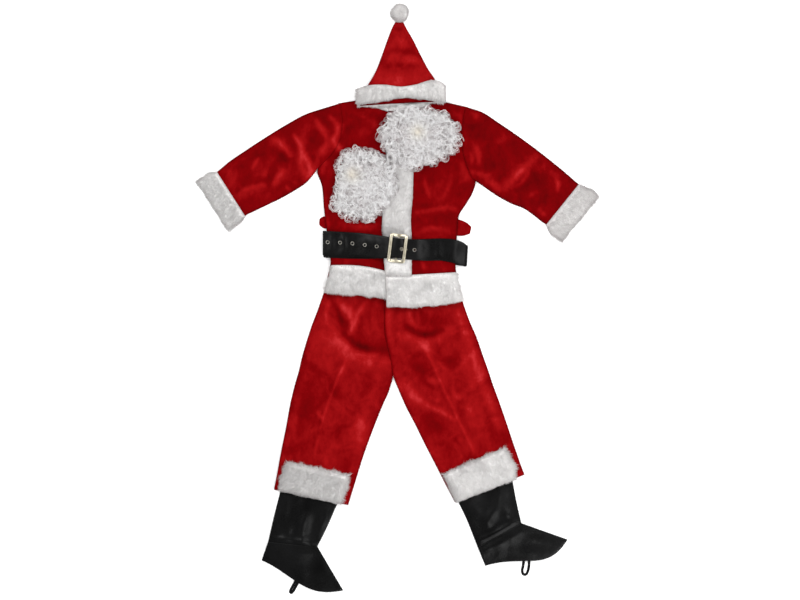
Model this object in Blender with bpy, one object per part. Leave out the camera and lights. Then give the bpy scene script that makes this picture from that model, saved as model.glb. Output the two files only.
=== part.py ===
"""A child's Santa suit laid out flat: hat, wig, beard, jacket with its belt, trousers and boot covers.

Lengths are in millimetres until a mesh is made. Seen from above, +X is to the right and +Y runs from
the boots to the hat. +Z is up, from the floor at z = 0. The suit lies on its back, so -X is the
wearer's right. Pieces are laid in order, each one resting on whatever already lies under it.
"""

import math
from collections import namedtuple

import bmesh
import bpy
import numpy as np

MM = 0.001

# Cloth and trim
PLUSH = 2.0
LEATHERETTE = 1.5
FUR_TOP = 7.5
FUR_UNDER = 5.0
FUR_EDGE = 0.45  # the trim's edge, as a share of its full thickness
LAY_GAP = 0.35  # clearance between a piece and the one under it
LOFT = 1.5  # air between a front panel and what it lies on
SLEEVE_LOFT = 2.0
SIDE_EASE = 0.6  # below 1 the loft rises faster from a panel's side seams

# Elastic straps of the boot covers
ELASTIC_WIDTH = 7.0
ELASTIC_THICK = 1.5

# Belt, buckle and eyelets
BELT = 2.0
BUCKLE_WIDTH = 47.0
BUCKLE_HEIGHT = 75.0
BUCKLE_BAR = 9.0
BUCKLE_CORNER = 5.0
BUCKLE_FLATNESS = 0.45  # height of the frame's bars, as a share of their width
BUCKLE_TILT = math.radians(-7.0)
BUCKLE_CENTRE = (0.0, 131.0)
BAR_DIAMETER = 3.0
PRONG_DIAMETER = 2.4
PRONG_TURN = 2.6  # how far short of its eyelet's centre the pin turns up
ROUND_SIDES = 8
PRONG_SIDES = 6
EYELET_HOLE = 6.4
EYELET_RIM = 11.0
EYELET_THICK = 0.8
EYELET_SEAT = 0.3  # lifts the ring clear of the strap's creases
CUT_FROM, CUT_TO = -20.0, 90.0  # the height over which the eyelet holes are cut

# Hair and pompom
WIG_HEIGHT = 30.0
BEARD_HEIGHT = 26.0
HAIR_EDGE = 10.0
LOCK_REACH = 9.0  # how far the locks stand out past the mound's edge
LOCK_RADIUS = 8.5
LOCK_BENDS = [12, 55, 100, 145]  # degrees round the curl
LOCK_HALF_WIDTHS = [4.2, 3.8, 3.0, 1.4]
LOCK_SPACING = [1, 2, 3, 6]  # one lock in so many faces, from the edge to the crown
LOCK_TURN, LOCK_SWAY = 115.0, 40.0  # which way the locks curl, in degrees from straight out
LUMPS = 0.08  # unevenness of the mound, as a share of its height
POMPOM_CENTRE = (6.0, 740.2)
POMPOM_HALF = (25.0, 26.5)
POMPOM_HEIGHT = 34.0
PARTING_DEPTH = 0.15  # the pompom's parting over the hat's tip, as a share of its reach
PARTING_WIDTH = 22.0  # degrees

Section = namedtuple("Section", "left_x left_y right_x right_y bow skew", defaults=(0.0, 1.0))
Fold = namedtuple("Fold", "from_x from_y to_x to_y width height")
Reach = namedtuple("Reach", "degrees distance")
Eyelet = namedtuple("Eyelet", "name x y")
Finish = namedtuple("Finish", "colour roughness metallic")

RED = Finish((0.42, 0.004, 0.008), 0.75, 0.0)
WHITE_FUR = Finish((0.85, 0.84, 0.83), 0.95, 0.0)
HAIR = Finish((0.88, 0.87, 0.85), 0.5, 0.0)
BLACK = Finish((0.012, 0.012, 0.013), 0.42, 0.0)
GOLD = Finish((0.72, 0.62, 0.42), 0.28, 1.0)

# Rows of a cut piece. Each row runs from its left to its right edge; bow lifts the row's middle and
# skew above 1 moves that bulge towards the right edge.
JACKET_BACK = [
    Section(-187, 22, 167, 3),
    Section(-180, 60, 159, 40),
    Section(-174, 92, 152, 72),
    Section(-179, 140, 151, 115),
    Section(-185, 190, 155, 170),
    Section(-191, 240, 160, 218),
    Section(-196, 295, 180, 250),
    Section(-208, 337, 203, 307),
    Section(-178, 376, 184, 342),
    Section(-157, 415, 179, 382),
    Section(-153, 450, 182, 430),
    Section(-156, 484, 183, 466, 6),
    Section(-156, 514, 183, 498, 18),
]
JACKET_FRONT_RIGHT = [
    Section(-188, 20, 2, 2),
    Section(-181, 60, 2, 45),
    Section(-174, 92, 2, 76),
    Section(-179, 135, 3, 125),
    Section(-185, 185, 3, 180),
    Section(-191, 235, 4, 235),
    Section(-196, 292, 5, 290),
    Section(-208, 337, 6, 340),
    Section(-178, 376, 6, 385),
    Section(-157, 415, 4, 425),
    Section(-154, 452, 4, 460),
    Section(-157, 482, 4, 486),
    Section(-157, 498, 0, 500),
    Section(-156, 508, -34, 508),
    Section(-156, 514, -58, 524),
]
JACKET_FRONT_LEFT = [
    Section(-27, -17, 168, 0),
    Section(-30, 25, 160, 36),
    Section(-33, 62, 152, 72),
    Section(-37, 110, 151, 112),
    Section(-40, 165, 154, 165),
    Section(-40, 205, 159, 215),
    Section(-36, 250, 179, 248),
    Section(-33, 290, 195, 276),
    Section(-31, 325, 203, 307),
    Section(-30, 362, 184, 342),
    Section(-29, 400, 179, 382),
    Section(-28, 440, 182, 430),
    Section(-26, 478, 183, 466),
    Section(-18, 494, 183, 482),
    Section(12, 501, 183, 490),
    Section(50, 509, 183, 495),
    Section(74, 523, 183, 498),
]
SLEEVE_RIGHT = [
    Section(-151, 512, -206, 341, 30),
    Section(-192, 498, -217, 325, 16),
    Section(-238, 480, -236, 303, 4),
    Section(-290, 452, -262, 285),
    Section(-342, 420, -300, 263),
    Section(-391, 388, -343, 242),
    Section(-436, 357, -374, 227),
    Section(-470, 329, -396, 215),
    Section(-492, 315, -412, 195),
    Section(-513, 300, -431, 182),
]
SLEEVE_LEFT = [
    Section(192, 314, 177, 499, 18),
    Section(225, 291, 222, 484, 8),
    Section(257, 269, 262, 458, 4),
    Section(293, 249, 305, 429),
    Section(328, 235, 352, 395),
    Section(357, 215, 398, 359),
    Section(374, 201, 438, 326),
    Section(386, 193, 470, 298),
    Section(405, 176, 489, 284),
    Section(424, 161, 511, 271),
]
CUFF_RIGHT = [
    Section(-469, 332, -393, 213),
    Section(-486, 330, -405, 198),
    Section(-505, 319, -422, 186),
    Section(-524, 304, -437, 173),
]
CUFF_LEFT = [
    Section(384, 192, 471, 300),
    Section(394, 170, 490, 291),
    Section(411, 157, 509, 284),
    Section(427, 148, 524, 263),
]
PLACKET = [
    Section(-33, 62, 38, 60),
    Section(-37, 110, 38, 110),
    Section(-40, 165, 38, 160),
    Section(-41, 205, 36, 203),
    Section(-36, 260, 40, 260),
    Section(-32, 343, 43, 343),
    Section(-29, 420, 43, 420),
    Section(-27, 478, 44, 480),
]
HEM_LEFT = [
    Section(-30, -21, 173, -5, -8),
    Section(-31, 20, 164, 28, -3),
    Section(-33, 60, 156, 71),
]
HEM_RIGHT = [
    Section(-194, 15, -5, -4, 2),
    Section(-184, 52, -5, 32, 5),
    Section(-174, 89, -5, 66, 9),
]
HEM_BACK = [
    Section(-192, 20, 171, 2),
    Section(-183, 54, 163, 36),
    Section(-175, 86, 154, 66),
]
COLLAR_RIGHT = [
    Section(-27, 484, -20, 506),
    Section(-61, 497, -43, 517),
    Section(-92, 513, -66, 533),
]
COLLAR_LEFT = [
    Section(-14, 486, -16, 506),
    Section(30, 484, 28, 509),
    Section(70, 497, 58, 520),
    Section(102, 512, 80, 533),
]
COLLAR_BACK = [
    Section(-60, 498, 74, 498, -6),
    Section(-62, 532, 76, 530, 6),
]
TROUSER_RIGHT = [
    Section(-166, 76, -28, 77),
    Section(-181, 44, -29, 42),
    Section(-193, 12, -30, 5),
    Section(-207, -28, -30, -40),
    Section(-223, -70, -29, -85),
    Section(-237, -113, -20, -130),
    Section(-249, -155, -11, -172),
    Section(-256, -186, -11, -198),
    Section(-265, -217, -21, -236),
    Section(-277, -265, -40, -280),
    Section(-289, -330, -64, -340),
    Section(-303, -400, -90, -412),
    Section(-312, -450, -108, -470),
    Section(-321, -495, -128, -535),
]
TROUSER_LEFT = [
    Section(-32, 76, 144, 74),
    Section(-33, 42, 156, 38),
    Section(-34, 5, 168, -2),
    Section(-34, -40, 186, -54),
    Section(-33, -85, 205, -98),
    Section(-24, -130, 221, -144),
    Section(-15, -172, 238, -192),
    Section(-12, -198, 247, -220),
    Section(2, -234, 257, -247),
    Section(22, -280, 271, -286),
    Section(46, -326, 286, -330),
    Section(71, -377, 300, -372),
    Section(99, -431, 312, -407),
    Section(126, -484, 321, -433),
    Section(149, -528, 330, -456),
]
LEG_FUR_RIGHT = [
    Section(-287, -420, -120, -455),
    Section(-300, -444, -120, -478),
    Section(-309, -470, -129, -507),
    Section(-310, -496, -140, -532),
]
LEG_FUR_LEFT = [
    Section(114, -453, 279, -382),
    Section(127, -478, 294, -407),
    Section(138, -504, 309, -436),
    Section(150, -526, 304, -466),
]
BOOT_SHAFT_RIGHT = [
    Section(-290, -442, -134, -481),
    Section(-304, -498, -158, -536),
    Section(-321, -565, -186, -599),
    Section(-337, -635, -211, -648),
]
BOOT_FOOT_RIGHT = [
    Section(-336, -630, -208, -643),
    Section(-353, -679, -141, -757, -26, 1.6),
]
BOOT_SHAFT_LEFT = [
    Section(137, -480, 285, -417),
    Section(157, -525, 298, -469),
    Section(178, -569, 309, -526),
    Section(210, -649, 323, -588),
]
BOOT_FOOT_LEFT = [
    Section(208, -644, 321, -582),
    Section(228, -693, 442, -625, -30, 1.9),
]
HAT_BACK = [
    Section(-97, 500, 114, 511, 1),
    Section(-91, 530, 111, 536),
    Section(-76, 556, 99, 566),
    Section(-57, 590, 80, 596),
    Section(-40, 634, 60, 634),
    Section(-25, 676, 39, 676),
    Section(-11, 710, 20, 709),
    Section(-4, 722, 14, 722),
]
HAT_FRONT = [
    Section(-97, 508, 115, 512, 15),
    Section(-91, 532, 111, 538, 4),
    Section(-76, 556, 99, 566),
    Section(-57, 590, 80, 596),
    Section(-40, 634, 60, 634),
    Section(-25, 676, 39, 676),
    Section(-11, 710, 20, 709),
    Section(-4, 722, 14, 722),
]
BRIM_FRONT = [
    Section(-110, 502, -109, 546),
    Section(-74, 504, -75, 555),
    Section(-28, 512, -30, 556),
    Section(8, 520, 6, 551),
    Section(50, 518, 48, 557),
    Section(88, 511, 92, 569),
    Section(110, 508, 114, 564),
    Section(127, 505, 127, 553),
]
BRIM_BACK = [
    Section(-106, 497, -105, 543),
    Section(-50, 496, -52, 548),
    Section(0, 500, -2, 548),
    Section(55, 508, 54, 553),
    Section(122, 506, 122, 552),
]
BELT_FRONT = [
    Section(-194, 114, -194, 177),
    Section(-136, 109, -138, 174),
    Section(-84, 108, -82, 170),
    Section(-40, 105, -36, 163),
    Section(-18, 107, -12, 159),
    Section(20, 102.5, 24, 155),
    Section(72, 99, 76, 156),
    Section(115, 99, 118, 157),
    Section(145, 93, 150, 154),
    Section(167, 86, 172, 146),
    Section(175, 84, 180, 140),
]
BELT_UNDER = [
    Section(-185, 107, -184, 166),
    Section(-136, 105, -134, 164),
    Section(-84, 104, -82, 162),
    Section(-10, 106, -8, 158),
]
BELT_BACK = [
    Section(-184, 107, -184, 168),
    Section(-60, 104, -60, 165),
    Section(80, 96, 80, 155),
    Section(175, 84, 175, 140),
]

# Soft folds as short ridges, from one point to another, with a half-width and a height.
JACKET_RIGHT_FOLDS = [
    Fold(-160, 486, -143, 446, 12, 7),
    Fold(-143, 446, -148, 396, 12, 6),
    Fold(-126, 468, -60, 434, 16, 5),
    Fold(-193, 310, -185, 228, 13, 6),
    Fold(-150, 190, -40, 182, 12, 5),
]
JACKET_LEFT_FOLDS = [
    Fold(62, 306, 86, 244, 14, 5),
    Fold(48, 224, 150, 236, 9, 6),
    Fold(168, 392, 172, 300, 12, 7),
    Fold(150, 190, 80, 186, 12, 5),
    Fold(120, 120, 116, 90, 12, 4),
]
SLEEVE_RIGHT_FOLDS = [
    Fold(-196, 456, -180, 418, 11, 7),
    Fold(-180, 418, -208, 382, 11, 7),
    Fold(-274, 426, -249, 386, 12, 8),
    Fold(-249, 386, -230, 338, 12, 7),
    Fold(-328, 414, -280, 376, 13, 6),
    Fold(-372, 326, -353, 356, 13, 5),
    Fold(-333, 292, -294, 338, 13, 6),
    Fold(-420, 264, -358, 290, 12, 6),
]
SLEEVE_LEFT_FOLDS = [
    Fold(192, 412, 213, 385, 11, 6),
    Fold(213, 385, 214, 348, 11, 7),
    Fold(196, 326, 242, 311, 11, 7),
    Fold(290, 287, 336, 328, 15, 7),
    Fold(336, 328, 368, 370, 14, 6),
    Fold(406, 332, 413, 298, 12, 5),
    Fold(244, 440, 290, 408, 15, 4),
]
TROUSER_RIGHT_FOLDS = [
    Fold(-180, 30, -184, -66, 9, 7),
    Fold(-124, 40, -125, -88, 9, 8),
    Fold(-82, 40, -102, -78, 8, 7),
    Fold(-52, 40, -56, -48, 8, 6),
    Fold(-200, -78, -134, -134, 13, 7),
    Fold(-118, -138, -36, -172, 13, 6),
    Fold(-140, -163, -183, -282, 8, 5),
    Fold(-183, -282, -208, -400, 8, 4),
    Fold(-96, -260, -130, -330, 14, 5),
]
TROUSER_LEFT_FOLDS = [
    Fold(0, 40, 2, -40, 8, 6),
    Fold(55, 40, 56, -70, 9, 7),
    Fold(110, 40, 104, -58, 9, 6),
    Fold(158, -10, 168, -98, 9, 7),
    Fold(6, -90, 82, -130, 13, 7),
    Fold(84, -152, 130, -248, 8, 5),
    Fold(130, -248, 198, -402, 8, 4),
    Fold(34, -218, 128, -290, 12, 6),
    Fold(150, -130, 196, -168, 13, 5),
]
HAT_FOLDS = [
    Fold(-36, 612, 46, 616, 12, 4),
    Fold(-10, 656, 28, 668, 10, 4),
    Fold(24, 584, 66, 606, 11, 4),
]
BOOT_RIGHT_FOLDS = [
    Fold(-292, -530, -300, -610, 10, 5),
    Fold(-236, -560, -250, -620, 11, 4),
]
BOOT_LEFT_FOLDS = [
    Fold(286, -520, 262, -580, 9, 5),
    Fold(218, -560, 250, -604, 10, 4),
]

WIG_CENTRE = (58.0, 421.0)
WIG_REACH = [
    Reach(0, 110),
    Reach(22, 108),
    Reach(43, 92),
    Reach(65, 78),
    Reach(88, 76),
    Reach(112, 80),
    Reach(134, 98),
    Reach(150, 98),
    Reach(173, 112),
    Reach(192, 110),
    Reach(210, 92),
    Reach(228, 88),
    Reach(250, 84),
    Reach(272, 78),
    Reach(290, 80),
    Reach(310, 82),
    Reach(335, 104),
]
BEARD_CENTRE = (-84.0, 295.0)
BEARD_REACH = [
    Reach(0, 88),
    Reach(20, 86),
    Reach(38, 88),
    Reach(60, 88),
    Reach(90, 97),
    Reach(116, 106),
    Reach(137, 104),
    Reach(154, 86),
    Reach(175, 74),
    Reach(195, 88),
    Reach(217, 110),
    Reach(237, 100),
    Reach(256, 96),
    Reach(272, 98),
    Reach(290, 94),
    Reach(306, 80),
    Reach(330, 80),
]

EYELETS = [
    Eyelet("eyelet_1", -181, 147),
    Eyelet("eyelet_2", -149, 146),
    Eyelet("eyelet_3", -117, 144),
    Eyelet("eyelet_4", -85, 140),
    Eyelet("eyelet_5", -54, 136),
    Eyelet("eyelet_6", 11, 129),
    Eyelet("eyelet_7", 44, 127),
]
PIN_EYELET = EYELETS[5]

# The boot covers' elastic straps, which hang loose from the soles in a loop
ELASTIC_LEFT = [
    (329, -664), (328, -680), (326, -695), (324, -706), (327, -715),
    (333, -716), (338, -709), (341, -697), (342, -682), (342, -664),
]
ELASTIC_RIGHT = [
    (-255, -712), (-263, -728), (-272, -744), (-279, -756), (-281, -762),
    (-276, -764), (-271, -759), (-263, -745), (-255, -731), (-247, -717),
]


def clear_scene():
    for obj in list(bpy.data.objects):
        bpy.data.objects.remove(obj)


def material(name, finish):
    made = bpy.data.materials.new(name)
    made.use_nodes = True
    shader = made.node_tree.nodes["Principled BSDF"]
    shader.inputs["Base Color"].default_value = (*finish.colour, 1.0)
    shader.inputs["Roughness"].default_value = finish.roughness
    shader.inputs["Metallic"].default_value = finish.metallic
    return made


def halves(quad):
    """The two triangles of a four-sided face, or the one of a three-sided face."""
    return [(quad[0], quad[i], quad[i + 1]) for i in range(1, len(quad) - 1)]


class Pile:
    """How high the pieces laid so far reach, kept on a fine grid over the floor plan."""

    CELL = 2.5
    HALF_SPAN = (560.0, 800.0)

    def __init__(self):
        self.height = np.zeros([int(2 * half / self.CELL) for half in self.HALF_SPAN])

    def cells(self, plan):
        return (np.asarray(plan) + self.HALF_SPAN) / self.CELL

    def add(self, points, faces):
        """Raises the grid to the top of a piece, under each of its faces and corners."""
        points = np.asarray(points, float)
        place = self.cells(points[:, :2])
        for face in faces:
            for corners in halves(face):
                self.cover(place[list(corners)], points[list(corners), 2])
        i, j = place.astype(int).T
        np.maximum.at(self.height, (i, j), points[:, 2])

    def cover(self, place, z):
        first = np.floor(place.min(0)).astype(int)
        last = np.ceil(place.max(0)).astype(int)
        i, j = np.meshgrid(np.arange(first[0], last[0]), np.arange(first[1], last[1]), indexing="ij")
        (ax, ay), (bx, by), (cx, cy) = place
        area = (by - cy) * (ax - cx) + (cx - bx) * (ay - cy)
        if abs(area) < 1e-9:
            return
        a = ((by - cy) * (i + 0.5 - cx) + (cx - bx) * (j + 0.5 - cy)) / area
        b = ((cy - ay) * (i + 0.5 - cx) + (ax - cx) * (j + 0.5 - cy)) / area
        inside = (a >= 0) & (b >= 0) & (a + b <= 1)
        here = i[inside], j[inside]
        level = a * z[0] + b * z[1] + (1 - a - b) * z[2]
        self.height[here] = np.maximum(self.height[here], level[inside])

    def top(self, plan):
        """The highest surface in the cells at and around each point of a plan."""
        i, j = np.moveaxis(self.cells(plan).astype(int), -1, 0)
        near = [self.height[i + di, j + dj] for di in (-1, 0, 1) for dj in (-1, 0, 1)]
        return np.max(near, axis=0)

    def clear(self, plan):
        """The lowest height that clears the pile at each point of a plan."""
        top = self.top(plan)
        return np.where(top > 0, top + LAY_GAP, 0.0)

    def top_within(self, x, y, reach):
        """The highest surface within reach of one point."""
        offsets = np.arange(-reach, reach + 1, 1.5)
        dx, dy = np.meshgrid(offsets, offsets)
        near = np.hypot(dx, dy) <= reach
        return self.top(np.stack([x + dx[near], y + dy[near]], axis=-1)).max()

    def patch(self, x, y, reach):
        """The cell centres within reach of a point, with their heights."""
        span = np.arange(-reach - self.CELL, reach + self.CELL, self.CELL)
        i = np.floor((x + self.HALF_SPAN[0] + span) / self.CELL).astype(int)
        j = np.floor((y + self.HALF_SPAN[1] + span) / self.CELL).astype(int)
        i, j = (grid.ravel() for grid in np.meshgrid(i, j))
        centres = (np.stack([i, j], axis=1) + 0.5) * self.CELL - self.HALF_SPAN
        near = np.hypot(*(centres - (x, y)).T) <= reach
        return np.column_stack([centres, self.height[i, j]])[near]

    def rest(self, plan, triangles):
        """The lowest heights at a plan's points that keep its triangles clear of the pile."""
        points = plan.reshape(-1, 2)
        corners = np.array(triangles)
        size = np.linalg.norm(points[corners] - points[np.roll(corners, 1, axis=1)], axis=2).max()
        steps = max(2, math.ceil(size / self.CELL))
        weights = np.array(
            [(i, j, steps - i - j) for i in range(steps + 1) for j in range(steps + 1 - i)]
        )
        weights = weights / steps
        places = np.einsum("sk,tkd->tsd", weights, points[corners])
        needed = self.clear(places)
        heights = self.clear(points)
        highest = np.zeros(len(points))
        np.maximum.at(highest, corners, needed.max(axis=1)[:, None])
        pull = 0.5 * weights / (weights**2).sum(1)[:, None]
        for _ in range(200):
            short = needed - np.einsum("sk,tk->ts", weights, heights[corners])
            if short.max() < 0.03:
                break
            lift = (np.maximum(short, 0)[..., None] * pull[None]).max(axis=1)
            raised = np.zeros(len(points))
            np.maximum.at(raised, corners, lift)
            heights = np.minimum(heights + raised, highest)
        return heights.reshape(plan.shape[:-1])


def smooth_through(knots, values, at):
    """A smooth curve through a table's values, read at the given places."""
    slopes = np.gradient(values, knots, axis=0)
    i = np.clip(np.searchsorted(knots, at, side="right") - 1, 0, len(knots) - 2)
    span = (knots[i + 1] - knots[i])[:, None]
    t = (at - knots[i])[:, None] / span
    start = (1 + 2 * t) * (1 - t) ** 2 * values[i] + t * (1 - t) ** 2 * span * slopes[i]
    end = t * t * (3 - 2 * t) * values[i + 1] + t * t * (t - 1) * span * slopes[i + 1]
    return start + end


def plan_of(sections, columns, rows):
    """The grid of plan points over a cut piece, rows + 1 by columns + 1."""
    table = np.array(sections, float)
    steps = np.diff(table[:, :4], axis=0)
    lengths = (np.hypot(steps[:, 0], steps[:, 1]) + np.hypot(steps[:, 2], steps[:, 3])) / 2
    knots = np.concatenate([[0.0], np.cumsum(lengths)])
    row = smooth_through(knots, table, np.linspace(0, knots[-1], rows + 1))
    left, right = row[:, None, 0:2], row[:, None, 2:4]
    across = (right - left) / np.linalg.norm(right - left, axis=2, keepdims=True)
    outward = np.stack([-across[..., 1], across[..., 0]], axis=2)
    u = np.linspace(0, 1, columns + 1)[None, :, None]
    arch = np.sin(math.pi * u ** row[:, None, 5:6])
    return left + (right - left) * u + outward * row[:, None, 4:5] * arch


def ridge(plan, fold):
    """The height that one fold adds at each point of a plan."""
    start = np.array([fold.from_x, fold.from_y])
    along = np.array([fold.to_x, fold.to_y]) - start
    share = ((plan - start) @ along) / (along @ along)
    held = np.clip(share, 0, 1)
    away = np.linalg.norm(plan - start - held[..., None] * along, axis=-1)
    return fold.height * np.exp(-((away / fold.width) ** 2)) * (0.35 + 0.65 * np.sin(math.pi * held))


def settled(rest, passes=3):
    """The cloth eased over steps below it, never lower than where it rests."""
    height = rest.copy()
    for _ in range(passes):
        wide = np.pad(height, 1, mode="edge")
        mean = (wide[:-2, 1:-1] + wide[2:, 1:-1] + wide[1:-1, :-2] + wide[1:-1, 2:]) / 4
        height = np.maximum(rest, mean)
    return height


def add_object(name, points, faces, finish):
    mesh = bpy.data.meshes.new(name)
    mesh.from_pydata([tuple(p) for p in np.asarray(points) * MM], [], [tuple(f) for f in faces])
    mesh.materials.append(finish)
    obj = bpy.data.objects.new(name, mesh)
    bpy.context.scene.collection.objects.link(obj)
    return obj


def grid_faces(rows, columns):
    """The triangles of a grid of points, rows + 1 by columns + 1."""
    width = columns + 1
    faces = []
    for j in range(rows):
        for i in range(columns):
            a = j * width + i
            faces += halves((a, a + 1, a + width + 1, a + width))
    return faces


def wall_faces(rows, columns, turned):
    """Faces of a closed wall whose lower grid of points comes first and its upper grid second."""
    width = columns + 1
    upper = width * (rows + 1)
    faces = []
    for face in grid_faces(rows, columns):
        faces.append(tuple(reversed(face)))
        faces.append(tuple(upper + k for k in face))
    rim = [i for i in range(width)]
    rim += [j * width + columns for j in range(1, rows + 1)]
    rim += [rows * width + i for i in range(columns - 1, -1, -1)]
    rim += [j * width for j in range(rows - 1, 0, -1)]
    for a, b in zip(rim, rim[1:] + rim[:1]):
        faces.append((a, b, upper + b, upper + a))
    return [tuple(reversed(f)) for f in faces] if turned else faces


def is_clockwise(plan):
    u = plan[0, 1] - plan[0, 0]
    v = plan[1, 0] - plan[0, 0]
    return u[0] * v[1] - u[1] * v[0] < 0


def wall_points(plan, under, wall):
    """The points of a wall over a plan: all of its underside, then all of its upper side."""
    lower = np.concatenate([plan, under[..., None]], axis=2).reshape(-1, 3)
    upper = np.concatenate([plan, (under + wall)[..., None]], axis=2).reshape(-1, 3)
    return np.concatenate([lower, upper])


def lay(pile, name, sections, columns, rows, thick, finish, folds=(), air=0.0, furry=False):
    """Lays one cut piece on the pile as a wall of cloth or a strip of fur trim."""
    plan = plan_of(sections, columns, rows)
    under = settled(pile.rest(plan, grid_faces(rows, columns)))
    u = np.linspace(0, 1, columns + 1)[None, :]
    closed_sides = np.sin(math.pi * u) ** SIDE_EASE
    lift = np.full(under.shape, air)
    for fold in folds:
        lift = np.maximum(lift, ridge(plan, fold) + air)
    under = under + lift * closed_sides
    wall = np.full(under.shape, thick)
    if furry:
        wall[[0, -1], :] *= FUR_EDGE
        wall[1:-1, [0, -1]] *= FUR_EDGE
    points = wall_points(plan, under, wall)
    faces = wall_faces(rows, columns, is_clockwise(plan))
    pile.add(points, faces)
    obj = add_object(name, points, faces, finish)
    obj.data.shade_smooth()
    obj.data.set_sharp_from_angle(angle=math.radians(50))
    return obj, under


def ring_faces(rings, around):
    """Side faces between stacked rings of points, each ring anticlockwise seen from its end."""
    faces = []
    for k in range(rings - 1):
        for i in range(around):
            j = (i + 1) % around
            faces.append((k * around + i, k * around + j, (k + 1) * around + j, (k + 1) * around + i))
    return faces


def square_to(direction, hint):
    """A unit vector square to a direction, on the side of a hint."""
    side = hint - (hint @ direction) * direction
    return side / np.linalg.norm(side)


def grow_lock(points, faces, corners, turn_to, radius):
    """A curled lock grown out of one face of a mound, with its root sewn to that face."""
    root = np.array([points[i] for i in corners])
    centre = root.mean(0)
    outward = np.cross(root[2] - root[0], root[3] - root[1])
    outward = outward / np.linalg.norm(outward)
    sideways = square_to(outward, turn_to)
    crosswise = np.cross(outward, sideways)
    turns = np.arctan2((root - centre) @ crosswise, (root - centre) @ sideways)
    previous = list(corners)
    for bend, half in zip(np.radians(LOCK_BENDS), LOCK_HALF_WIDTHS):
        place = centre + radius * (math.sin(bend) * outward + (1 - math.cos(bend)) * sideways)
        across = math.cos(bend) * sideways - math.sin(bend) * outward
        first = len(points)
        for turn in turns:
            spoke = math.cos(turn) * across + math.sin(turn) * crosswise
            points.append(tuple(place + half * spoke))
        ring = list(range(first, first + 4))
        for i in range(4):
            j = (i + 1) % 4
            faces.append((previous[i], previous[j], ring[j], ring[i]))
        previous = ring
    faces.append(tuple(previous))


def hair(pile, name, centre, table, height, finish, around=24, rings=4):
    """A mound of curls: a cushion of hair with curled locks standing out of its edge and crown."""
    knots = np.array([r.degrees for r in table] + [360.0 + table[0].degrees])
    reach = np.array([r.distance for r in table] + [table[0].distance]) - LOCK_REACH
    edge = np.interp(np.linspace(0, 360, around, endpoint=False), knots, reach)
    shares = np.linspace(1.0, 1.0 / rings, rings)
    angle = np.radians(np.linspace(0, 360, around, endpoint=False))[None, :]
    ring_reach = shares[:, None] * edge[None, :]
    plan = np.stack(
        [centre[0] + ring_reach * np.cos(angle), centre[1] + ring_reach * np.sin(angle)], axis=2
    )
    base_faces = [(0, 1 + (i + 1) % around, 1 + i) for i in range(around)]
    base_plan = np.concatenate([[centre], plan[::-1].reshape(-1, 2)])
    base_triangles = base_faces + [
        tuple(1 + i for i in half) for face in ring_faces(rings, around) for half in halves(face)
    ]
    with_locks = centre + (base_plan - centre) * (1 + 2 * LOCK_REACH / edge.min())
    base = np.maximum(pile.rest(base_plan, base_triangles), pile.rest(with_locks, base_triangles))
    under = base[1:].reshape(rings, around)[::-1]
    dome = HAIR_EDGE + (height - HAIR_EDGE) * (1 - shares**2.4)
    lumps = 1 + LUMPS * np.sin(4 * angle + 9 * shares[:, None]) * np.cos(3 * angle - 7 * shares[:, None])
    level = base.mean() + (under - base.mean()) * shares[:, None]
    top = np.maximum(level + dome[:, None] * lumps, under + HAIR_EDGE * 0.7)
    points = [(*p, z) for p, z in zip(base_plan, base)]
    for k in range(rings):
        points += [(*p, z) for p, z in zip(plan[k], top[k])]
    points.append((*centre, base.mean() + height))
    last = len(points) - 1
    crown = 1 + (2 * rings - 1) * around
    faces = base_faces + [(last, crown + i, crown + (i + 1) % around) for i in range(around)]
    for k, face in enumerate(ring_faces(2 * rings, around)):
        level, place = divmod(k, around)
        corners = tuple(1 + i for i in face)
        row = level - (rings - 1)
        if row < 0 or (place + row) % LOCK_SPACING[row]:
            faces.append(corners)
            continue
        turn = angle[0, place] + math.radians(LOCK_TURN + LOCK_SWAY * math.sin(1.9 * place + 2.3 * row))
        turn_to = np.array([math.cos(turn), math.sin(turn), 0.35])
        grow_lock(points, faces, corners, turn_to, LOCK_RADIUS)
    obj = add_object(name, points, faces, finish)
    obj.data.shade_smooth()
    return points, faces


def pompom(pile, finish, around=18, rings=7):
    """A fur ball at the hat's tip, parted below where the tip runs into it."""
    (centre_x, centre_y), (half_width, half_length) = POMPOM_CENTRE, POMPOM_HALF
    turn = np.linspace(0, 2 * math.pi, around, endpoint=False)
    parting = np.exp(-(((np.degrees(turn) - 270.0) / PARTING_WIDTH) ** 2))
    reach = 1 - PARTING_DEPTH * parting
    points = [(centre_x, centre_y, 0.0)]
    for k in range(1, rings):
        tilt = math.pi * k / rings
        z = POMPOM_HEIGHT / 2 * (1 - math.cos(tilt))
        points += [
            (
                centre_x + half_width * math.cos(a) * r * math.sin(tilt),
                centre_y + half_length * math.sin(a) * r * math.sin(tilt),
                z,
            )
            for a, r in zip(turn, reach)
        ]
    points.append((centre_x, centre_y, POMPOM_HEIGHT))
    last = len(points) - 1
    crown = 1 + (rings - 2) * around
    faces = [(0, 1 + (i + 1) % around, 1 + i) for i in range(around)]
    faces += [tuple(1 + i for i in f) for f in ring_faces(rings - 1, around)]
    faces += [(last, crown + i, crown + (i + 1) % around) for i in range(around)]
    pile.add(points, faces)
    obj = add_object("hat_pompom", points, faces, finish)
    obj.data.shade_smooth()
    return obj


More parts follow.
